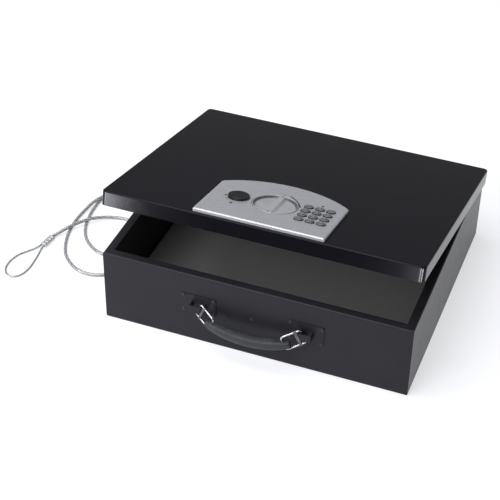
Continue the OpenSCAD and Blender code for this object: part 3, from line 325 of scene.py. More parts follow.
# Rubber bush in the wall and the steel stop behind it.
rubber = Look("black_rubber", (0.018, 0.018, 0.019), 0.62)
rubber.vary("Roughness", 500, 0.52, 0.72, 4)
rubber.vary("Base Color", 90, (0.014, 0.014, 0.015), (0.026, 0.026, 0.027))
rubber.relief(rubber.noise(2600, 2), 0.2, 0.0002)
zinc = Look("zinc_plate", (0.55, 0.56, 0.58), 0.36, metallic=1.0)
zinc.vary("Base Color", 60, (0.42, 0.43, 0.44), (0.62, 0.63, 0.66), 6, 0.6,
          ends=(0.25, 0.75))
zinc.vary("Roughness", 260, 0.28, 0.46, 3)
zinc.relief(zinc.noise(1500, 2), 0.15, 0.0002)


def dress(names, look):
    """Gives CAD nodes one material."""
    for name in names:
        nodes[name].data.materials.clear()
        nodes[name].data.materials.append(look.material)


dress(["cable_grommet"], rubber)
dress(["cable_stop"], zinc)


# ---- ground and light ----
# A white table top that ends beyond the light. It shows white to the camera and in
# reflections and still takes the box's shadow. Three soft lights stand round the box,
# and three low ones are seen by the lid's glossy edge alone.
def stage_sheet(name, corners, look):
    """Flat four-cornered piece of the stage."""
    mesh = bpy.data.meshes.new(name)
    mesh.from_pydata(corners, [], [(0, 1, 2, 3)])
    mesh.materials.append(look.material)
    sheet = bpy.data.objects.new(name, mesh)
    bpy.context.scene.collection.objects.link(sheet)
    return sheet


table_reach, table_glow = 20, 0.62
table_white = Look("ground_paper", (0.5, 0.505, 0.52), 0.9, specular=0.0)
ray = table_white.node("ShaderNodeLightPath").outputs
seen = table_white.node("ShaderNodeMath",
                        {0: ray["Is Camera Ray"], 1: ray["Is Glossy Ray"]},
                        operation="MAXIMUM").outputs[0]
seen = table_white.node("ShaderNodeMath", {0: seen, 1: ray["Is Transmission Ray"]},
                        operation="MAXIMUM").outputs[0]
glow = table_white.node("ShaderNodeMath", {0: seen, 1: table_glow}, operation="MULTIPLY")
table_white.set("Emission Color", (0.97, 0.98, 1, 1))
table_white.link(glow.outputs[0], "Emission Strength")
stage_sheet("ground", [(x * table_reach, y * table_reach, 0)
                       for x, y in ((-1, -1), (1, -1), (1, 1), (-1, 1))], table_white)

world = bpy.data.worlds.new("room")
world.use_nodes = True
room = world.node_tree.nodes["Background"].inputs
room["Color"].default_value = (0.95, 0.97, 1.0, 1)
room["Strength"].default_value = 0.24
bpy.context.scene.world = world
bpy.context.scene.view_settings.view_transform = "Standard"


def add_light(name, place, target, width, height, power, soft=True):
    """Rectangular light at a place, turned so that its face looks at the target. One that
    isn't soft shows only as a reflection, and only on the pieces in edge_pieces."""
    light = bpy.data.lights.new(name, "AREA")
    light.shape = "RECTANGLE"
    light.size, light.size_y, light.energy = width, height, power
    lamp = bpy.data.objects.new(name, light)
    aim = np.subtract(place, target).astype(float)
    aim /= np.linalg.norm(aim)
    right = np.cross([0, 0, 1] if abs(aim[2]) < 0.99 else [0, 1, 0], aim)
    right /= np.linalg.norm(right)
    stand = np.eye(4)
    stand[:3, :3] = np.stack([right, np.cross(aim, right), aim], axis=1)
    stand[:3, 3] = place
    lamp.matrix_world = Matrix(stand.tolist())
    lamp.visible_camera, lamp.visible_diffuse = False, soft
    if not soft:
        lamp.light_linking.receiver_collection = edge_pieces
    bpy.context.scene.collection.objects.link(lamp)


edge_pieces = bpy.data.collections.new("pieces_lit_at_the_edge")
add_light("overhead", (-0.6, -0.1, 2.2), (0, 0, 0), 2.0, 2.0, 38)
add_light("front", (-0.5, -1.8, 1.65), (0, 0, 0.1), 1.2, 1.2, 24)
add_light("left", (-1.0, -0.9, 0.3), (-0.15, -0.15, 0.05), 0.4, 0.4, 6)
add_light("low_left", (-0.56, -0.71, 0.09), (-0.2, -0.15, 0.16), 0.28, 0.16, 5.5, False)
add_light("low_right", (0.26, -0.76, 0.09), (0.2, -0.15, 0.16), 0.24, 0.16, 5.2, False)
add_light("low_corner", (0.6, -0.6, 0.08), (0.2, -0.13, 0.15), 0.16, 0.16, 5.5, False)

# Black card that runs away over the table between the low lights. Only glossy surfaces
# see it: it keeps the middle of the lid's front edge dark.
card_black = Look("black_card", (0.006, 0.006, 0.006), 0.5)
card = stage_sheet("black_card", [(-0.37, -0.64, 0.002), (-4.9, -12, 0.002),
                                  (-1.7, -12, 0.002), (0.1, -0.64, 0.002)], card_black)
card.visible_camera = card.visible_diffuse = card.visible_shadow = False
card.visible_transmission = False


# ---- case ----
# Sheet steel trough with two welded end panels and a lip folded inwards all round the
# rim. It is degreased, phosphated and powder-coated in fine-grained satin black.
def loop(half_x, half_y, radius, inset, middle=(0, 0), steps=7):
    """Points of a rectangle with round corners, moved inwards by inset: corner q is an
    arc of radius - inset, at least 0.3, about a centre that far from both sides."""
    r = max(radius - inset, 0.3)
    corners = np.array([(1, 1), (-1, 1), (-1, -1), (1, -1)])
    turns = np.linspace(0, np.pi / 2, steps)[None] + np.arange(4)[:, None] * np.pi / 2
    centres = corners * (half_x - inset - r, half_y - inset - r)
    points = centres[:, None] + r * np.stack([np.cos(turns), np.sin(turns)], axis=-1)
    return points.reshape(-1, 2) + middle


def fold(inset, height, radius, start, end, steps=6):
    """Points (inset, height) of an arc about a centre, between two angles in degrees;
    at 0 degrees it faces outwards, at 90 upwards."""
    a = np.radians(np.linspace(start, end, steps))
    return [(inset - radius * np.cos(t), height + radius * np.sin(t)) for t in a]


def pan(profile, half_x, half_y, radius, middle=(0, 0), steps=7):
    """Closed skin of a folded pan: the loop for each (inset, height) of the profile,
    joined into bands, with a flat face over the first and the last loop."""
    return stack_loops([np.column_stack([loop(half_x, half_y, radius, d, middle, steps),
                                         np.full(4 * steps, z)]) for d, z in profile])


# From the floor inside, up the wall, round the lip at the rim and back under the floor.
case_half_x, case_half_y, case_corner = 211.5, 183.5, 1.4
case_profile = ([(40, 1.5), (6, 1.5)] + fold(2.5, 2.5, 1.0, -90, 0) + [(1.5, 60)]
                + fold(2.5, 106.5, 1.0, 0, 90) + [(11.7, 107.5), (12, 107.7), (12, 108.7),
                (11.7, 109)] + fold(2.5, 106.5, 2.5, 90, 0) + [(0, 60)]
                + fold(2.5, 2.5, 2.5, 0, -90) + [(6, 0), (40, 0)])


def powder_coat(name, color, roughness, specular):
    """Satin powder coat: orange-peel relief a millimetre or two across, a finer grain,
    and a faint cloudiness of colour and gloss."""
    look = Look(name, color, roughness, specular=specular)
    look.set("Specular Tint", (0.9, 0.9, 1, 1))
    low = tuple(c * 0.9 for c in color)
    high = tuple(c * 1.12 for c in color)
    look.vary("Base Color", 14, low, high, 5, 0.6)
    look.vary("Roughness", 55, roughness * 0.94, roughness * 1.06, 4, 0.6)
    look.relief(look.noise(650, 2), 0.05, 0.0004)
    look.relief(look.noise(2400, 2), 0.08, 0.0001)
    return look


case_coat = powder_coat("case_powder_coat", (0.0198, 0.0195, 0.024), 0.34, 0.2)
case_skin = add_piece("case_shell",
                      [pan(case_profile, case_half_x, case_half_y, case_corner)],
                      case_coat.material, "case", sharp=60)
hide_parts("case_wrap", "left_end", "right_end")
dress(["strike_plate"], case_coat)


# ---- floor pad ----
# Grey needle felt three millimetres thick, cut to the floor and laid in loose. Its edge
# is pressed thin, and it lies a little wavy.
felt = Look("needle_felt", (0.27, 0.27, 0.272), 0.95, specular=0.2)
fibre = felt.noise(900, 6, 0.7, stretch=(1, 0.45, 1))
felt.link(felt.ramp(fibre, [(0.3, (0.19, 0.19, 0.193)), (0.7, (0.37, 0.37, 0.372))]),
          "Base Color")
felt.set("Sheen Weight", 0.5)
felt.set("Sheen Roughness", 0.5)
felt.relief(fibre, 0.7, 0.0008)
felt.relief(felt.noise(45, 3), 0.3, 0.001)
pad_columns, pad_rows = 85, 73
pad_half_x, pad_half_y, pad_under, pad_over, pad_fall = 207.9, 179.9, 1.55, 4.4, 0.9
gx, gy = np.meshgrid(np.linspace(-1, 1, pad_columns), np.linspace(-1, 1, pad_rows),
                     indexing="ij")
pad_top = pad_over - pad_fall * np.maximum(np.abs(gx), np.abs(gy)) ** 90
pad_top = pad_top + 0.07 * np.sin(9.1 * gx + 2.3 * gy) * np.sin(7.3 * gy - 1.7 * gx)
upper = np.stack([pad_half_x * gx, pad_half_y * gy, pad_top], axis=-1)
lower = np.stack([pad_half_x * gx, pad_half_y * gy, np.full_like(gx, pad_under)], axis=-1)
top_faces = grid_faces(pad_columns, pad_rows, closed=False)
rim = np.concatenate([np.arange(pad_rows),
                      np.arange(1, pad_columns) * pad_rows + pad_rows - 1,
                      (pad_columns - 1) * pad_rows + np.arange(pad_rows - 2, -1, -1),
                      np.arange(pad_columns - 2, 0, -1) * pad_rows])
below = pad_columns * pad_rows
walls = np.stack([rim, np.roll(rim, -1), np.roll(rim, -1) + below, rim + below], axis=-1)
pad_faces = (top_faces.tolist() + (top_faces[:, ::-1] + below).tolist()
             + walls[:, ::-1].tolist())
felt_pad = add_piece("felt_pad", [(np.vstack([upper.reshape(-1, 3), lower.reshape(-1, 3)]),
                                   pad_faces)], felt.material, "case")
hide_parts("floor_liner")


# ---- hinge ----
# Continuous hinge rolled from zinc-plated strip on a steel pin with peened ends. One leaf
# is spot-welded on the back of the case, the other inside the lid's rear skirt.
dress(["case_leaf", "lid_leaf", "hinge_pin"], zinc)


# ---- lid ----
# Drawn steel pan with a skirt all round, rounded at its corners and along its top edge,
# in the same black coat, but finer and glossier than the case.
hinge_y, hinge_z, lid_opening = 186.85, 86.6, math.radians(14)


def on_lid(points):
    """Points of the closed lid, turned about the hinge line to where the lid stands:
    y' = y0 + (y - y0) cos a + (z - z0) sin a and z' = z0 - (y - y0) sin a
    + (z - z0) cos a, with a the lid's opening."""
    points = np.array(points, float)
    y, z, a = points[..., 1] - hinge_y, points[..., 2] - hinge_z, lid_opening
    points[..., 1] = hinge_y + y * math.cos(a) + z * math.sin(a)
    points[..., 2] = hinge_z - y * math.sin(a) + z * math.cos(a)
    return points


lid_profile = ([(40, 109.3), (8, 109.3)] + fold(2.2, 108.3, 1.0, 90, 0)
               + [(1.2, 100), (1.2, 90.2), (1.0, 90), (0.2, 90), (0, 90.2), (0, 100)]
               + fold(2.2, 108.3, 2.2, 0, 90, 9) + [(8, 110.5), (40, 110.5)])
lid_coat = powder_coat("lid_powder_coat", (0.0056, 0.0054, 0.008), 0.16, 0.12)
lid_half_x, lid_half_y, lid_corner, lid_middle = 214.7, 187.625, 7.0, (0, 1.325)
lid_points, lid_faces = pan(lid_profile, lid_half_x, lid_half_y, lid_corner, lid_middle, 14)
lid_skin = add_piece("lid_pan", [(on_lid(lid_points), lid_faces)], lid_coat.material,
                     "lid", sharp=60)
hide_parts("lid_shell")
edge_pieces.objects.link(lid_skin)


# ---- handle plates and rivets ----
# Two pressed plates with a slanted staple each, coated with the case, and held by domed
# steel rivets in a dark, half-metallic coat.
dress(["left_bracket", "right_bracket"], case_coat)


def lathe(profile, count=48):
    """Closed skin of revolution about z: the profile's (radius, height) points, each
    carried round a full turn, with a flat face over the first and the last circle."""
    return stack_loops([np.column_stack([circle(r, count), np.full(count, z)])
                        for r, z in profile])


head_radius, head_height = 2.5, 1.2
plate_front, case_front = -184.5, -183.5
handle_x, handle_z = -1, 61
dome = [(2.3, -0.3), (head_radius, 0)]
dome += [(head_radius * math.cos(a), head_height * math.sin(a))
         for a in np.radians([14, 28, 42, 56, 68, 80])]
rivet_places = [(handle_x + a * (74 + b * 21), handle_z + 1.5 + c * 12, plate_front)
                for a in (-1, 1) for b in (-1, 1) for c in (-1, 1)]
rivet_places.append((handle_x, handle_z, case_front))
rivet_parts = []
for rivet_x, rivet_z, rivet_y in rivet_places:
    points, faces = lathe(dome, 24)
    rivet_parts.append((np.column_stack([rivet_x + points[:, 0], rivet_y - points[:, 2],
                                         rivet_z + points[:, 1]]), faces))
worn = powder_coat("worn_rivet_coat", (0.03, 0.03, 0.032), 0.3, 0.6)
worn.set("Metallic", 0.5)
rivets = add_piece("rivet_heads", rivet_parts, worn.material, "case", sharp=50)
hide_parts("front_rivets")


# ---- handle rings ----
# Bent from thin steel wire, butt-welded and chromed. Each hangs in its plate by its
# outer bar, and a flat steel band is pinched round both of its arms.
lean, ring_turn, ring_droop = np.radians([9, 28.3, 21.4]).tolist()
swing_y, ring_reach = -189.1, 72.5


def on_handle(points):
    """Points of the handle's own frame, leaned by a about the line through both plates:
    y' = y cos a - z sin a and z' = y sin a + z cos a, then moved to that line."""
    points = np.array(points, float)
    y, z, a = points[..., 1].copy(), points[..., 2].copy(), lean
    points[..., 0] += handle_x
    points[..., 1] = swing_y + y * math.cos(a) - z * math.sin(a)
    points[..., 2] = handle_z + y * math.sin(a) + z * math.cos(a)
    return points


def on_ring(points, side):
    """Points of a ring's own frame, its arms along -x: turned by a about z, then drooped
    by b about y, moved to the plate, and mirrored for the left side."""
    points = np.array(points, float)
    a, b = ring_turn, ring_droop
    x = points[..., 0] * math.cos(a) - points[..., 1] * math.sin(a)
    y = points[..., 0] * math.sin(a) + points[..., 1] * math.cos(a)
    z = points[..., 2]
    turned = np.stack([side * (ring_reach + x * math.cos(b) - z * math.sin(b)), y,
                       x * math.sin(b) + z * math.cos(b)], axis=-1)
    return on_handle(turned)


chrome = Look("worn_chrome", (0.46, 0.465, 0.48), 0.14, metallic=1.0)
chrome.vary("Roughness", 240, 0.1, 0.32, 5, 0.65, ends=(0.35, 0.75))
chrome.vary("Base Color", 120, (0.32, 0.325, 0.34),
            (0.56, 0.565, 0.58), 4, ends=(0.25, 0.6))
chrome.relief(chrome.noise(900, 2), 0.08, 0.0002)
ring_half_long, ring_half_wide, ring_bend, wire_radius, wire_sides = 14, 11, 4, 1.3, 20
wire_loop = loop(ring_half_long, ring_half_wide, ring_bend, 0, (-ring_half_long, 0), 9)
wire_steps = len(wire_loop)
wire_line = np.stack([wire_loop[:, 0], np.zeros(wire_steps), wire_loop[:, 1]], axis=-1)
wire_way = np.roll(wire_line, -1, axis=0) - np.roll(wire_line, 1, axis=0)
wire_way /= np.linalg.norm(wire_way, axis=1)[:, None]
wire_in = np.cross(wire_way, [0, 1, 0])
wire_round = circle(wire_radius, wire_sides)
wire_points = (wire_line[:, None] + wire_round[None, :, :1] * wire_in[:, None]
               + wire_round[None, :, 1:] * np.array([0, 1, 0]))
wire_faces = grid_faces(wire_steps + 1, wire_sides) % (wire_steps * wire_sides)
for ring_name, side in (("left_ring", -1), ("right_ring", 1)):
    ring = add_piece(ring_name + "_wire", [(on_ring(wire_points.reshape(-1, 3), side),
                                            wire_faces)], chrome.material, "handle")
    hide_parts(ring_name)

band_steel = Look("pinched_band", (0.15, 0.15, 0.157), 0.3, metallic=1.0)
band_steel.vary("Base Color", 150, (0.08, 0.08, 0.085), (0.18, 0.18, 0.19), 5, 0.6)
band_steel.vary("Roughness", 420, 0.22, 0.42)
band_steel.relief(band_steel.noise(1300, 2), 0.15, 0.0002)
band_place, band_half_x, band_half_z, band_waist = -8.2, 2.3, 13.3, 0.24
band_rows = []
for across_band, inset in ((-2, 0.5), (-1.85, 0.12), (-1.5, 0), (0, 0.1), (1.5, 0),
                           (1.85, 0.12), (2, 0.5)):
    outline = loop(band_half_x, band_half_z, 2.2, inset, steps=8)
    outline[:, 0] *= 1 - band_waist * (1 - (outline[:, 1] / band_half_z) ** 2)
    band_rows.append(np.column_stack([np.full(len(outline), across_band + band_place),
                                      outline]))
band_points, band_faces = stack_loops(band_rows)
bands = add_piece("ring_bands_steel", [(on_ring(band_points, side), band_faces)
                                       for side in (-1, 1)], band_steel.material, "handle")
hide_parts("ring_bands")


# ---- grip ----
# A strip of blackened spring steel runs from ring to ring with its ends rolled round the
# wire. A soft slate-black vinyl grip is moulded over it, thick in the middle, with a
# flattened face and a fine leather grain.
spring = Look("blackened_spring_steel", (0.10, 0.10, 0.105), 0.3, metallic=0.8)
spring.vary("Base Color", 200, (0.06, 0.06, 0.065), (0.16, 0.16, 0.165), 4)
spring.vary("Roughness", 500, 0.22, 0.40)
dress(["grip_strip"], spring)

vinyl = Look("moulded_vinyl", (0.034, 0.0365, 0.043), 0.5, specular=0.35)
vinyl.vary("Base Color", 70, (0.025, 0.0275, 0.033), (0.041, 0.044, 0.052), 5, 0.6)
vinyl.vary("Roughness", 160, 0.44, 0.56, 3)
grain = vinyl.node("ShaderNodeTexVoronoi", {"Vector": vinyl.place, "Scale": 1100})
vinyl.relief(grain.outputs["Distance"], 0.12, 0.0002)
grip_half, grip_thick, grip_taper, grip_bow, grip_squareness = 58.04, 14.2, 5.2, 6.6, 3.4
grip_tips = np.array([58.04, 58.04, 57.9, 57.5, 56.8])
tip_size = np.array([0.62, 0.8, 0.91, 0.97, 1])
grip_x = np.concatenate([-grip_tips, np.linspace(-55.5, 55.5, 61), grip_tips[::-1]])
grip_end = np.concatenate([tip_size, np.ones(61), tip_size[::-1]])
eye_reach, eye_y, eye_z, grip_drop = 49.545, -13.274, -8.996, 1.5
bow_tilt = math.radians(46.6)
bow = 1 - (grip_x / eye_reach) ** 2
grip_line = np.stack([grip_x, eye_y - grip_bow * math.cos(bow_tilt) * bow,
                      eye_z - grip_bow * math.sin(bow_tilt) * bow - grip_drop], axis=-1)
grip_radius = (grip_thick - grip_taper * (np.abs(grip_x) / grip_half) ** 4) / 2 * grip_end
grip_round = circle(1, 40)
grip_round /= ((np.abs(grip_round) ** grip_squareness).sum(1)[:, None]
               ** (1 / grip_squareness))
grip_line[0, 0] -= 0.001
grip_line[-1, 0] += 0.001
grip_points, grip_faces = sweep(grip_line, grip_round[None] * grip_radius[:, None, None])
grip = add_piece("vinyl_grip", [(on_handle(grip_points), grip_faces)], vinyl.material,
                 "handle", sharp=70)
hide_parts("handle_grip")


# ---- bezel ----
# Injection-moulded shell sprayed in fine silver lacquer, with a straight front, an arched
# back, a well for the knob, a seat for the override lock and a hole for each key.
bezel_half, bezel_arch, bezel_corner, bezel_tip = 87.5, 134, 7, 2
bezel_front, arch_centre, bezel_x, bezel_face = -183.7, -179.7, -2.5, 115.7
knob_middle, lock_middle, lamp_middle = (-2.5, -117), (-51.5, -119.5), (52.8, -88.7)


def bezel_loop(inset):
    """Points of the bezel's outline: small corner arcs at the front, and wider ones at
    the back that touch an arch about a centre on the middle line."""
    half, arch = bezel_half - inset, bezel_arch - inset
    r, front, centre = max(bezel_corner - inset, 0.5), bezel_front + inset, arch_centre
    fx = half - r
    fy = centre + math.sqrt((arch - r) ** 2 - fx ** 2)
    tilt = math.atan2(fy - centre, fx)
    small = np.linspace(-math.pi / 2, 0, 8)
    corner = np.linspace(0, tilt, 12)
    crown = np.linspace(tilt, math.pi / 2, 40)[1:]
    right = np.vstack([
        np.column_stack([half - bezel_tip + bezel_tip * np.cos(small),
                         front + bezel_tip + bezel_tip * np.sin(small)]),
        np.column_stack([fx + r * np.cos(corner), fy + r * np.sin(corner)]),
        np.column_stack([arch * np.cos(crown), centre + arch * np.sin(crown)])])
    left = right[-2::-1] * (-1, 1)
    return np.vstack([right, left])


def oval_loop(length, width, steps=9):
    """Points of an oval with round ends: two half circles of the width's radius."""
    a = np.linspace(-np.pi / 2, np.pi / 2, steps)
    r = width / 2
    right = np.column_stack([(length - width) / 2 + r * np.cos(a), r * np.sin(a)])
    return np.vstack([right, -right])


bezel_profile = [(0.35, 110.55), (0, 110.9), (0, 112.8)] + fold(2.2, 113.5, 2.2, 0, 90, 10)
bezel_rows = []
for inset, z in bezel_profile:
    outline = bezel_loop(inset) + (bezel_x, 0)
    bezel_rows.append(np.column_stack([outline, np.full(len(outline), z)]))
silver = Look("silver_lacquer", (0.475, 0.483, 0.515), 0.28, metallic=0.4, specular=0.4)
silver.vary("Base Color", 2600, (0.45, 0.458, 0.49), (0.5, 0.508, 0.54), 2, 0.6)
silver.vary("Roughness", 60, 0.24, 0.32, 3)
silver.relief(silver.noise(1500, 2), 0.06, 0.0001)


def cut(piece, cutters):
    """Takes closed cutter shapes away from a piece and keeps the result as its mesh."""
    tool = add_piece("cutter", cutters, piece.data.materials[0], "lid")
    change = piece.modifiers.new("cut", "BOOLEAN")
    change.object, change.operation, change.solver = tool, "DIFFERENCE", "EXACT"
    bpy.context.view_layer.update()
    made = bpy.data.meshes.new_from_object(
        piece.evaluated_get(bpy.context.evaluated_depsgraph_get()))
    piece.modifiers.clear()
    piece.data = made
    bpy.data.objects.remove(tool)
    made.shade_smooth()
    made.set_sharp_from_angle(angle=math.radians(34))
    piece.modifiers.new("even_normals", "WEIGHTED_NORMAL").keep_sharp = True


def flared(low, high, soft=0.35):
    """Rows (grow, z) of a hole cutter: straight from low up, then flared by nearly a
    quarter arc of radius soft where it leaves the top at high."""
    rows = [(0, low), (0, high - soft)]
    rows += [(soft * (1 - math.cos(a)), high - soft + soft * math.sin(a))
             for a in np.radians([22.5, 45, 67.5, 84])]
    return rows + [(soft + 0.4, high + 0.6)]


key_x, key_y, key_pitch_x, key_pitch_y = 52.8, -123.1, 14.8, 14.45
key_long, key_wide, key_room, bezel_inside = 12.6, 9, 0.6, 110.4
key_places = [(key_x + (k % 3 - 1) * key_pitch_x, key_y + (1.5 - k // 3) * key_pitch_y)
              for k in range(12)]
cutters = []
for hole_x, hole_y in key_places:
    rows = []
    for grow, z in flared(bezel_inside, bezel_face):
        outline = oval_loop(key_long + key_room + 2 * grow, key_wide + key_room + 2 * grow)
        rows.append(np.column_stack([outline + (hole_x, hole_y), np.full(len(outline), z)]))
    cutters.append(stack_loops(rows))
for hole, radius, low in ((knob_middle, 30.6, 111.5), (lock_middle, 14.5, 114.7),
                          (lamp_middle, 1.5, bezel_inside)):
    points, faces = lathe([(radius + grow, z) for grow, z in flared(low, bezel_face)], 96)
    cutters.append((points + (*hole, 0), faces))
bezel_points, bezel_faces = stack_loops(bezel_rows)
bezel = add_piece("lock_bezel_shell", [(on_lid(bezel_points), bezel_faces)],
                  silver.material, "lid")
cut(bezel, [(on_lid(points), faces) for points, faces in cutters])
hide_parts("lock_bezel")

# Plain printed dots by the override lock and the knob, and the arc between the knob's
# two places.
ink_low, ink_high = bezel_face - 0.04, bezel_face + 0.02
ink = Look("dark_ink", (0.012, 0.012, 0.013), 0.5)
ink.vary("Base Color", 800, (0.009, 0.009, 0.01), (0.016, 0.016, 0.017), 3)
ink.vary("Roughness", 400, 0.42, 0.6)
ink_parts = []
for mark_x, mark_y, mark_r in ((-68.4, -122.4, 1.8), (-63.4, -131.4, 1.3),
                               (-53.6, -143, 2.1), (-2.5, -80.6, 1.3), (31.6, -117, 1.4)):
    points, faces = lathe([(mark_r, ink_low), (mark_r, ink_high)], 20)
    ink_parts.append((on_lid(points + (mark_x, mark_y, 0)), faces))
arc_inside, arc_outside, arc_x, arc_y = 60.1, 62, -28.5, -130.8
arc_turn = np.radians(np.linspace(21, 56, 40))
arc_edges = [np.stack([arc_x + r * np.cos(arc_turn), arc_y + r * np.sin(arc_turn),
                       np.full(len(arc_turn), z)], axis=-1)
             for r, z in ((arc_inside, ink_low), (arc_outside, ink_low),
                          (arc_outside, ink_high), (arc_inside, ink_high))]
arc_points, arc_faces = stack_loops(np.stack(arc_edges, axis=1))
ink_parts.append((on_lid(arc_points), arc_faces))
add_piece("bezel_marks", ink_parts, ink.material, "lid")


# ---- keys ----
# Twelve moulded caps, oval and slightly crowned, each on its rubber dome. The crown is
# lacquered grey with a small pale figure, and the side is dark with painted shade.
key_grey = Look("grey_key_lacquer", (0.135, 0.137, 0.145), 0.34, metallic=0.3)
key_grey.vary("Base Color", 900, (0.12, 0.122, 0.13), (0.155, 0.157, 0.165), 3)
key_grey.vary("Roughness", 220, 0.36, 0.5, 3)
key_grey.relief(key_grey.noise(2200, 2), 0.06, 0.0001)
key_ink = Look("pale_key_figures", (0.42, 0.42, 0.43), 0.5)
key_ink.vary("Base Color", 900, (0.36, 0.36, 0.37), (0.46, 0.46, 0.47))
# Dark colour for the keys' sides: painted shade.
key_side_shade = Look("painted_shade_on_key_sides", (0.03, 0.03, 0.032), 0.5)
key_side_shade.vary("Base Color", 900, (0.024, 0.024, 0.026), (0.036, 0.036, 0.038))
key_side_shade.relief(key_side_shade.noise(2200, 2), 0.05, 0.0001)


def figure(mark, size):
    """Filled outline of a figure in the built-in plain face, centred and 0.16 thick: its
    points and faces."""
    letter = bpy.data.curves.new("figure", "FONT")
    letter.body, letter.size, letter.extrude, letter.resolution_u = mark, size, 0.08, 4
    letter.align_x, letter.align_y = "CENTER", "CENTER"
    stamp = bpy.data.objects.new("figure", letter)
    made = stamp.to_mesh()
    points = np.empty(len(made.vertices) * 3, np.float32)
    made.vertices.foreach_get("co", points)
    faces = [list(face.vertices) for face in made.polygons]
    stamp.to_mesh_clear()
    bpy.data.objects.remove(stamp)
    points = points.reshape(-1, 3).astype(float)
    points[:, :2] -= (points[:, :2].min(0) + points[:, :2].max(0)) / 2
    return points, faces


crown_top, crown_foot, crown_radius, figure_size = 118.1, 117, 26, 5
for k, middle in enumerate(key_places):
    rows = []
    for inset, z in ((0, 111.4), (0, 115), (0, 116.9), (0.06, 117.5), (0.2, 117.75),
                     (0.45, 117.95), (0.8, 118.06), (1.4, crown_top), (2.2, crown_top),
                     (3.2, crown_top), (4.1, crown_top)):
        outline = oval_loop(key_long - 2 * inset, key_wide - 2 * inset, 12)
        drop = (outline ** 2).sum(1) / (2 * crown_radius) * (z > crown_foot)
        rows.append(np.column_stack([outline, z - drop]))
    points, faces = stack_loops(rows)
    print_points, print_faces = figure("123456789*0#"[k], figure_size)
    print_points[:, 2] += (crown_top - 0.04
                           - (print_points[:, :2] ** 2).sum(1) / (2 * crown_radius))
    key_name = "key_%d" % (k + 1)
    cap = add_piece("key_cap_%d" % (k + 1),
                    [(on_lid(points + (*middle, 0)), faces),
                     (on_lid(print_points + (*middle, 0)), print_faces)],
                    key_grey.material, key_name, sharp=50)
    cap.data.materials.append(key_side_shade.material)
    cap.data.materials.append(key_ink.material)
    # Faces below the crown's foot take the painted shade of the sides.
    slots = [1 if points[face, 2].mean() < crown_foot else 0 for face in faces]
    cap.data.polygons.foreach_set("material_index", slots + [2] * len(print_faces))
    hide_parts(key_name)


# ---- knob ----
# Moulded and lacquered like the bezel: a dish whose sloping wall is painted dark grey as
# painted shade, a waisted bar across it level with the rim, and a dark dot at each end.
knob_foot = 111.8


def on_knob(points):
    """Points of the knob's own frame, its underside at the origin, moved to the well."""
    return on_lid(np.array(points, float) + (*knob_middle, knob_foot))


disc = [(5, 0.6), (29.5, 0.0), (29.8, 0.3), (29.8, 4.0), (29.7, 4.3), (29.45, 4.4),
        (29.15, 4.36), (28.9, 4.2), (28.7, 3.9), (28.3, 3.1), (27.8, 2.4), (27.2, 1.8),
        (26.4, 1.3), (25.4, 0.98), (24, 0.85), (20, 0.8), (2, 0.9)]
waist_radius, waist_x, waist_z, dish_edge = 13, 14.78, 10.4, 28.9
bar_turn = np.linspace(math.acos(-(waist_x - 6.0) / waist_radius),
                       math.acos(-(waist_x - 3.5) / waist_radius), 14)
bar_side = np.stack([waist_x + waist_radius * np.cos(bar_turn),
                     waist_z - waist_radius * np.sin(bar_turn)], axis=-1)
bar_half = np.vstack([[(6.3, 0.6)], bar_side, [(3.32, 4.22), (3.1, 4.36), (2.7, 4.4)]])
bar_section = np.vstack([bar_half, (bar_half * (-1, 1))[::-1]])
bar_reach = np.sqrt(dish_edge ** 2 - bar_section[:, 0] ** 2)
bar_at = np.linspace(-1, 1, 24)
bar_wide = (len(bar_at), len(bar_section))
bar_points, bar_faces = stack_loops(np.stack([
    np.broadcast_to(bar_section[:, 0], bar_wide), bar_at[:, None] * bar_reach,
    np.broadcast_to(bar_section[:, 1], bar_wide)], axis=-1))
disc_points, disc_faces = lathe(disc, 120)
bright = Look("bright_silver_lacquer", (0.5, 0.505, 0.53), 0.32, metallic=0.4)
bright.vary("Base Color", 90, (0.47, 0.475, 0.5), (0.53, 0.535, 0.56), 3)
bright.vary("Roughness", 60, 0.29, 0.36, 3)
bright.relief(bright.noise(500, 2), 0.01, 0.0001)
# Dark grey for the dish's sloping wall: painted shade.
dish_wall_shade = Look("painted_shade_on_dish_wall", (0.1, 0.1, 0.107), 0.42, metallic=0.3)
dish_wall_shade.vary("Base Color", 300, (0.07, 0.07, 0.076), (0.14, 0.14, 0.147), 3)
knob = add_piece("turning_knob", [(on_knob(disc_points), disc_faces),
                                  (on_knob(bar_points), bar_faces)],
                 bright.material, "knob", sharp=50)
knob.data.materials.append(dish_wall_shade.material)
# Faces of the dish's sloping wall take the painted shade.
middles = np.array([disc_points[f].mean(0) for f in disc_faces[:-2]])
wall_in_painted_shade = ((np.hypot(middles[:, 0], middles[:, 1]) < dish_edge - 0.05)
           & (middles[:, 2] > 1.2) & (middles[:, 2] < 4.1))
slots = np.zeros(len(knob.data.polygons), int)
slots[:len(middles)] = wall_in_painted_shade
knob.data.polygons.foreach_set("material_index", slots)
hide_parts("knob")
dot_points, dot_faces = lathe([(1.3, 4.3), (1.3, 4.43)], 24)
add_piece("knob_pointer", [(on_knob(dot_points + (x, y, 0)), dot_faces)
                           for x, y in ((0, 28), (-1.2, -26))], ink.material, "knob")


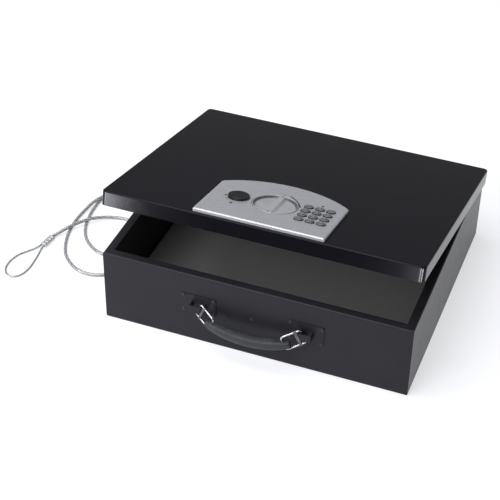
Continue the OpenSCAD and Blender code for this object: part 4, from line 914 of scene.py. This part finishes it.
# ---- override lock ----
# Press-in cap of glossy black ABS, dished on top, over a cam lock with a plated barrel.
# The small dark lens of the lamp sits beyond the keys.
gloss = Look("black_abs", (0.006, 0.0062, 0.007), 0.22, specular=0.25)
gloss.vary("Base Color", 120, (0.005, 0.0052, 0.006), (0.0085, 0.0088, 0.01), 4)
gloss.vary("Roughness", 60, 0.18, 0.24, 3)
gloss.relief(gloss.noise(2400, 2), 0.02, 0.0001)
cap_radius, cap_shoulder, cap_round = 14.3, 117.7, 0.8
cap_profile = [(12.2, 112.3), (12.2, 114.6), (14.1, 114.75), (cap_radius, 114.95),
               (cap_radius, cap_shoulder)]
cap_profile += [(cap_radius - cap_round + cap_round * math.cos(a),
                 cap_shoulder + cap_round * math.sin(a))
                for a in np.radians([22, 45, 67, 88])]
cap_profile += [(12.8, 118.5), (12.2, 118.38), (8, 118.3), (1, 118.3)]
cap_points, cap_faces = lathe(cap_profile, 72)
cap = add_piece("lock_cap", [(on_lid(cap_points + (*lock_middle, 0)), cap_faces)],
                gloss.material, "key_cover", sharp=60)
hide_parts("key_cover")
dress(["key_cylinder", "key_plug"], zinc)
lens = Look("dark_lamp_lens", (0.02, 0.012, 0.012), 0.12)
lens.vary("Roughness", 700, 0.08, 0.2)
dress(["status_led"], lens)


# ---- lock works ----
# Plated steel cam, bolts and screws in a black glass-filled housing; a brass bush; a
# printed board under a rubber mat; and four cells in a tray behind a sliding door.
dress(["knob_spindle", "lock_cam", "bolt_carriage", "lock_bolts", "lock_screws", "plunger"],
      zinc)
dress(["keypad_mat"], rubber)
housing = Look("glass_filled_nylon", (0.02, 0.02, 0.021), 0.5)
housing.vary("Base Color", 300, (0.014, 0.014, 0.015), (0.032, 0.032, 0.034), 5, 0.7)
housing.vary("Roughness", 120, 0.42, 0.6)
housing.relief(housing.noise(1600, 3), 0.2, 0.0002)
dress(["lock_housing", "battery_holder", "battery_door"], housing)
brass = Look("sintered_brass", (0.55, 0.42, 0.2), 0.4, metallic=1.0)
brass.vary("Base Color", 700, (0.44, 0.33, 0.15), (0.62, 0.48, 0.24), 4)
brass.relief(brass.noise(1500, 2), 0.3, 0.0003)
dress(["spindle_bush"], brass)
board = Look("solder_mask", (0.02, 0.12, 0.05), 0.35)
board.vary("Base Color", 500, (0.015, 0.09, 0.04), (0.03, 0.16, 0.07), 3, ends=(0.4, 0.6))
board.relief(board.noise(900, 1), 0.2, 0.0002)
dress(["circuit_board"], board)
coil = Look("wound_coil", (0.45, 0.26, 0.08), 0.4, metallic=0.6)
winding = coil.node("ShaderNodeTexWave", {"Vector": coil.place, "Scale": 300,
                                          "Distortion": 0.2}, bands_direction="Y")
# The turns of the winding are painted darker in the grooves between them: painted shade.
coil.link(coil.ramp(winding.outputs["Fac"], [(0.1, (0.2, 0.1, 0.03)),
                                             (0.6, (0.6, 0.34, 0.12))]), "Base Color")
coil.relief(winding.outputs["Fac"], 0.4, 0.0003)
dress(["solenoid"], coil)
cells = Look("cell_sleeve", (0.5, 0.36, 0.12), 0.35, metallic=0.5)
cells.vary("Base Color", 80, (0.42, 0.3, 0.1), (0.56, 0.42, 0.16), 4)
cells.vary("Roughness", 400, 0.28, 0.42)
dress(["batteries"], cells)
